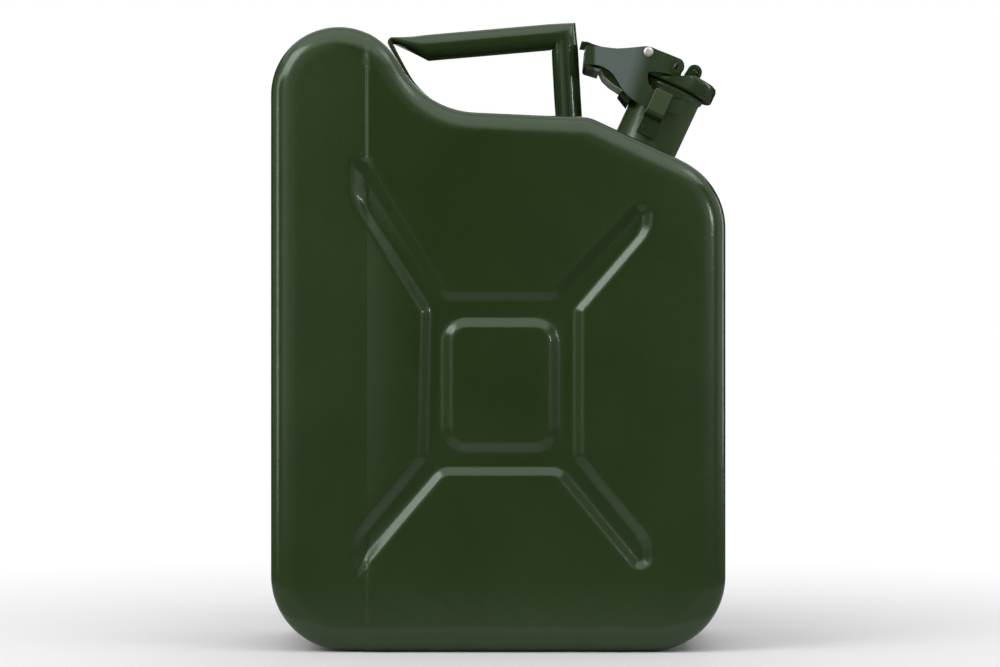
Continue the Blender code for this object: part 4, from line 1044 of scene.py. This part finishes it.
def reflected_cards():
    """The ground and the walls round the can as its gloss sees them, hidden from all other light."""
    cards = [ring_wall("apron", APRON_RADIUS, APRON_Z, APRON_Z, APRON_SIDES, outer=SURROUND_RADIUS)]
    cards[0].data.materials.append(reflected("apron_shade", APRON_STOPS))
    walls = [("surround_%d" % first, SURROUND_RADIUS, *SURROUND_HEIGHTS, first, last, level)
             for (first, level), (last, _) in zip(SURROUND, SURROUND[1:])]
    for name, radius, low, high, first, last, level in walls + CARDS:
        spread = (math.radians(first), math.radians(last))
        card = ring_wall(name, radius, low, high, CARD_SIDES, spread=spread)
        card.data.materials.append(reflected(name + "_level", [(0.0, (1.0, 1.0, 1.0, 1.0))], level))
        cards.append(card)
    for card in cards:
        card.visible_camera = card.visible_diffuse = False
        card.visible_shadow = card.visible_transmission = False
    return cards


def aim_camera():
    """The photograph's camera: level, and square on to the can's near side."""
    camera = new_object("camera", bpy.data.cameras.new("camera"))
    camera.data.sensor_width = SENSOR_MM
    camera.data.lens = FOCAL_PIXELS / FRAME_PIXELS * SENSOR_MM
    camera.data.clip_end = 60.0
    camera.location = CAMERA_SPOT
    camera.rotation_euler = (math.pi / 2, 0.0, 0.0)
    bpy.context.scene.camera = camera


def seen_straight(n):
    """1 for the camera, in gloss and through glass, 0 for the light that falls on things."""
    path = n.add("ShaderNodeLightPath").outputs
    rays = [Number(n, path[name]) for name in ("Is Camera Ray", "Is Glossy Ray", "Is Transmission Ray")]
    return (rays[0] + rays[1] + rays[2]).clamped()


def floor_white():
    """Pale floor that keeps the can's shadow near it and turns plain white further out."""
    f = Finish("floor_white")
    away = f.number("ShaderNodeVectorMath", {"operation": "LENGTH"}, {0: f.place}, output=1)
    seen = seen_straight(f)
    matt = f.add("ShaderNodeBsdfDiffuse", None, {"Color": (0.85, 0.85, 0.85, 1.0)}).outputs[0]
    white = f.add("ShaderNodeEmission", None, {"Strength": 1.0}).outputs[0]
    far = ((away - SHADOW_REACH) * SHADOW_FADE).clamped() * seen
    mix = f.add("ShaderNodeMixShader", None, {0: far, 1: matt, 2: white}).outputs[0]
    f.tree.links.new(mix, f.output.inputs["Surface"])
    return f.material


def reflected(name, stops, level=1.0):
    """A plain glowing card; the stops run with the distance from the can, up to the surroundings."""
    f = Finish(name)
    away = f.number("ShaderNodeVectorMath", {"operation": "LENGTH"}, {0: f.place}, output=1)
    shade = f.ramp(away / SURROUND_RADIUS, stops)
    glow = f.add("ShaderNodeEmission", None, {"Color": shade, "Strength": level})
    f.tree.links.new(glow.outputs[0], f.output.inputs["Surface"])
    return f.material


def sheet_of(name, corners):
    """One flat face."""
    made = bmesh.new()
    made.faces.new([made.verts.new(c) for c in corners])
    return new_piece(name, made)


def ring_wall(name, radius, low, high, sides, outer=None, spread=(0.0, 2 * math.pi)):
    """An upright wall round the can, or a ring that widens to outer; spread gives its end angles."""
    made = bmesh.new()
    angles = np.linspace(*spread, sides + 1)
    rings = [[made.verts.new((r * math.cos(a), r * math.sin(a), z)) for a in angles]
             for r, z in ((radius, low), (outer or radius, high))]
    for i in range(sides):
        made.faces.new((rings[0][i], rings[0][i + 1], rings[1][i + 1], rings[1][i]))
    return new_piece(name, made)


def soft_lamp(name, spot, aim, width, height, watts):
    """A rectangular area lamp turned towards a place."""
    lamp = bpy.data.lights.new(name, "AREA")
    lamp.shape, lamp.size, lamp.size_y, lamp.energy = "RECTANGLE", width, height, watts
    made = new_object(name, lamp)
    made.location = spot
    made.rotation_euler = (Vector(aim) - Vector(spot)).to_track_quat("-Z", "Y").to_euler()


def surroundings():
    """White for the camera, for gloss and through glass; a plain soft level for the rest."""
    world = bpy.data.worlds.new("surroundings")
    world.use_nodes = True
    bpy.context.scene.world = world
    n = Nodes(world.node_tree)
    world.node_tree.nodes.clear()
    seen = seen_straight(n)
    level = seen + (1.0 - seen) * SOFT_LEVEL
    glow = n.add("ShaderNodeBackground", None, {"Color": (1.0, 1.0, 1.0, 1.0), "Strength": level})
    out = n.add("ShaderNodeOutputWorld")
    n.tree.links.new(glow.outputs[0], out.inputs["Surface"])


# Assembly

def round_run(radius):
    """Places (x, y) on a full circle, the last one short of the first."""
    return arc((0.0, 0.0), radius, 0.0, 2 * math.pi, WELD_STEPS)[:-1]


def welds(green):
    """Weld beads round the handle's leg, along its foot's plate, and at both edges of the neck's seat."""
    tree = weld_bead_tree(green)
    top = FOOT_THICKNESS + 2 * SEAT_GAP
    leg = [(LEG_X + x, y, deck_height(LEG_X + x) + top) for x, y in round_run(LEG_WELD_RADIUS)]
    bead("weld_leg", leg, tree, width=0.0013, seed=3)
    for name, side in (("near", -1), ("far", 1)):
        along = [LEG_X - FOOT_SETBACK + FOOT_LENGTH * (t - 0.5)
                 for t in np.linspace(*FOOT_WELD_SPAN, FOOT_WELD_STEPS)]
        y = side * (FOOT_WIDTH / 2 + FOOT_WELD_OFF)
        run = [(x, y, deck_height(x) + FOOT_WELD_HEIGHT) for x in along]
        bead("weld_foot_" + name, run, tree, width=0.0011, seed=5 + side, closed=False)
    place = neck_frame()
    outer, inner = NECK_RADIUS + SEAT_GAP + COLLAR_WIDTH, NECK_RADIUS + NECK_WELD_OFF
    seat = [place @ Vector((x, y, NECK_WELD_OFF)) for x, y in round_run(outer)]
    bead("weld_seat", seat, tree, width=0.0008, seed=11)
    pipe = [place @ Vector((x, y, SEAT_GAP + COLLAR_THICKNESS)) for x, y in round_run(inner)]
    bead("weld_neck", pipe, tree, width=0.0009, seed=17)


def bead(name, path, tree, width, seed, closed=True):
    """One weld bead along a path."""
    dress(path_piece(name, path, tree, {"Width": width, "Seed": seed}, closed), "can", "green_paint")


def closure(green, zinc, rubber):
    """Softened forms of the closure's small pressed parts, each with the width of its rounded edges."""
    # The lever's pale band is a painted sheen, and the keepers' paler upper faces are a painted highlight
    sheen_paint = green_enamel("rubbed_enamel", where=painted_sheen_band)
    bent = green_enamel("bent_enamel", where=keeper_lit_face, pale=PAINTED_LIGHT_GREEN)
    paints = {"lever": sheen_paint, "keeper_near": bent, "keeper_far": bent}
    for node, body, width in (("keeper_near", "can", 0.0005), ("keeper_far", "can", 0.0005),
                              ("hinge_bracket", "can", 0.0004), ("handle_foot", "can", 0.0006),
                              ("lid", "lid", 0.0005), ("lid_arm", "lid", 0.00045),
                              ("pivot_tube", "lid", 0.0002), ("lever", "lever", 0.0006),
                              ("latch", "latch", 0.0004)):
        dress(softened(node, node + "_form", width, paints.get(node, green)), body, "green_paint", node)
    for node, body in (("hinge_pin", "can"), ("lid_rivet", "lid"), ("gasket_retainer", "lid"),
                       ("latch_pin", "lever")):
        dress(softened(node, node + "_form", PIN_EDGE, zinc), body, "bare_steel", node)
    dress(softened("gasket", "gasket_form", GASKET_EDGE, rubber), "lid", "gasket_rubber", "gasket")


def spot_welds(green):
    """Shallow weld buttons on the keepers' feet."""
    for name, side in (("near", -1), ("far", 1)):
        made = lathe(SPOT_WELD_PROFILE, SMALL_SIDES)
        made.faces.new(list(made.verts)[:SMALL_SIDES])
        turn = Matrix.Rotation(side * -math.pi / 2, 4, "X")
        across = side * (NECK_RADIUS + SEAT_GAP + KEEPER_THICKNESS)
        spot = Matrix.Translation((SPOT_WELD_U, across, SPOT_WELD_W))
        piece = new_piece("spot_weld_" + name, made, green)
        piece.data.transform(neck_frame() @ spot @ turn)
        dress(piece, "can", "green_paint")


def curl_core(green):
    """The rolled-in end of the arm's strap, which closes the curl when seen from the side."""
    reach, radius, flat = CURL_HALF_LENGTH, CURL_RADIUS, CURL_RADIUS * CURL_FLAT
    made = lathe([(0, -reach), (flat, -reach), (radius, -reach + CURL_CHAMFER),
                  (radius, reach - CURL_CHAMFER), (flat, reach), (0, reach)], SMALL_SIDES)
    bmesh.ops.rotate(made, verts=made.verts, cent=(0, 0, 0), matrix=Matrix.Rotation(-math.pi / 2, 3, "X"))
    bmesh.ops.translate(made, verts=made.verts, vec=(CURL[0], 0.0, CURL[1]))
    piece = new_piece("curl_core", made, green)
    piece.data.transform(neck_frame())
    dress(piece, "lid", "green_paint")


def latch_reflection_strip():
    """A painted reflection: a thin pale plate under the finger latch, in place of the white floor reflected
    by its lower edge.
    """
    line = np.array(UNDERSIDE_PATH)
    along = np.gradient(line, axis=0)
    out = np.stack([along[:, 1], -along[:, 0]], axis=1) / np.linalg.norm(along, axis=1)[:, None]
    loop = np.vstack([line + out * UNDERSIDE_PROUD, (line - out * UNDERSIDE_SUNK)[::-1]])
    made = bmesh.new()
    rims = [[made.verts.new((x, y, z)) for x, z in loop] for y in (-UNDERSIDE_Y, UNDERSIDE_Y)]
    for rim in rims:
        made.faces.new(rim)
    for i in range(len(loop)):
        made.faces.new((rims[0][i - 1], rims[0][i], rims[1][i], rims[1][i - 1]))
    bmesh.ops.recalc_face_normals(made, faces=made.faces)
    dress(new_piece("latch_reflection_strip", made, worn_steel()), "latch", "bare_steel")


def latch_spring(zinc):
    """Torsion spring coiled loosely round the latch pin."""
    place = neck_frame()
    count = SPRING_TURNS * SPRING_STEPS
    spots = []
    for i in range(count + 1):
        angle = 2 * math.pi * i / SPRING_STEPS + SPRING_START
        spots.append(place @ Vector((LATCH_PIN[0] + SPRING_RADIUS * math.cos(angle),
                                     (i / count - 0.5) * SPRING_TURNS * SPRING_PITCH,
                                     LATCH_PIN[1] + SPRING_RADIUS * math.sin(angle))))
    wire = wire_tree("spring_wire", zinc, SPRING_SIDES)
    piece = path_piece("latch_coil", spots, wire,
                       {"Radius": SPRING_WIRE, "Bend": SPRING_BEND, "Smoothness": 1})
    dress(piece, "lever", "bare_steel", "latch_spring")


studio()
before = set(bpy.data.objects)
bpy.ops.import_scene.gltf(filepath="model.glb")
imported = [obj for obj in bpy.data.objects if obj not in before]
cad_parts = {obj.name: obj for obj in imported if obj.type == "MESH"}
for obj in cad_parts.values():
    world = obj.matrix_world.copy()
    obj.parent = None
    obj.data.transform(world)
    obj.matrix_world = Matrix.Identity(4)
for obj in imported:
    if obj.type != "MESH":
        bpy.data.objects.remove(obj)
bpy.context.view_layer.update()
green, zinc, rubber, lining = green_enamel(), zinc_steel(), black_rubber(), lining_steel()
for name, side in (("front", -1), ("back", 1)):
    dress(half_shell("pressed_" + name, side, green, lining), "can", "green_paint", "shell_" + name)
dress(handle(green), "can", "green_paint", "handle")
# The neck is painted a paler green in place of the light it catches: painted light
lit_neck_paint = green_enamel("hazed_enamel", (PAINTED_LIGHT_GREEN, PAINTED_LIGHT_DEEP))
for made, node in ((neck(lit_neck_paint), "neck_tube"), (collar(green), "neck_collar")):
    made.data.transform(neck_frame())
    dress(made, "can", "green_paint", node)
welds(green)
closure(green, zinc, rubber)
latch_reflection_strip()
curl_core(green)
spot_welds(green)
latch_spring(zinc)
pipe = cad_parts["breather_tube"]
pipe.data.materials.clear()
pipe.data.materials.append(zinc)
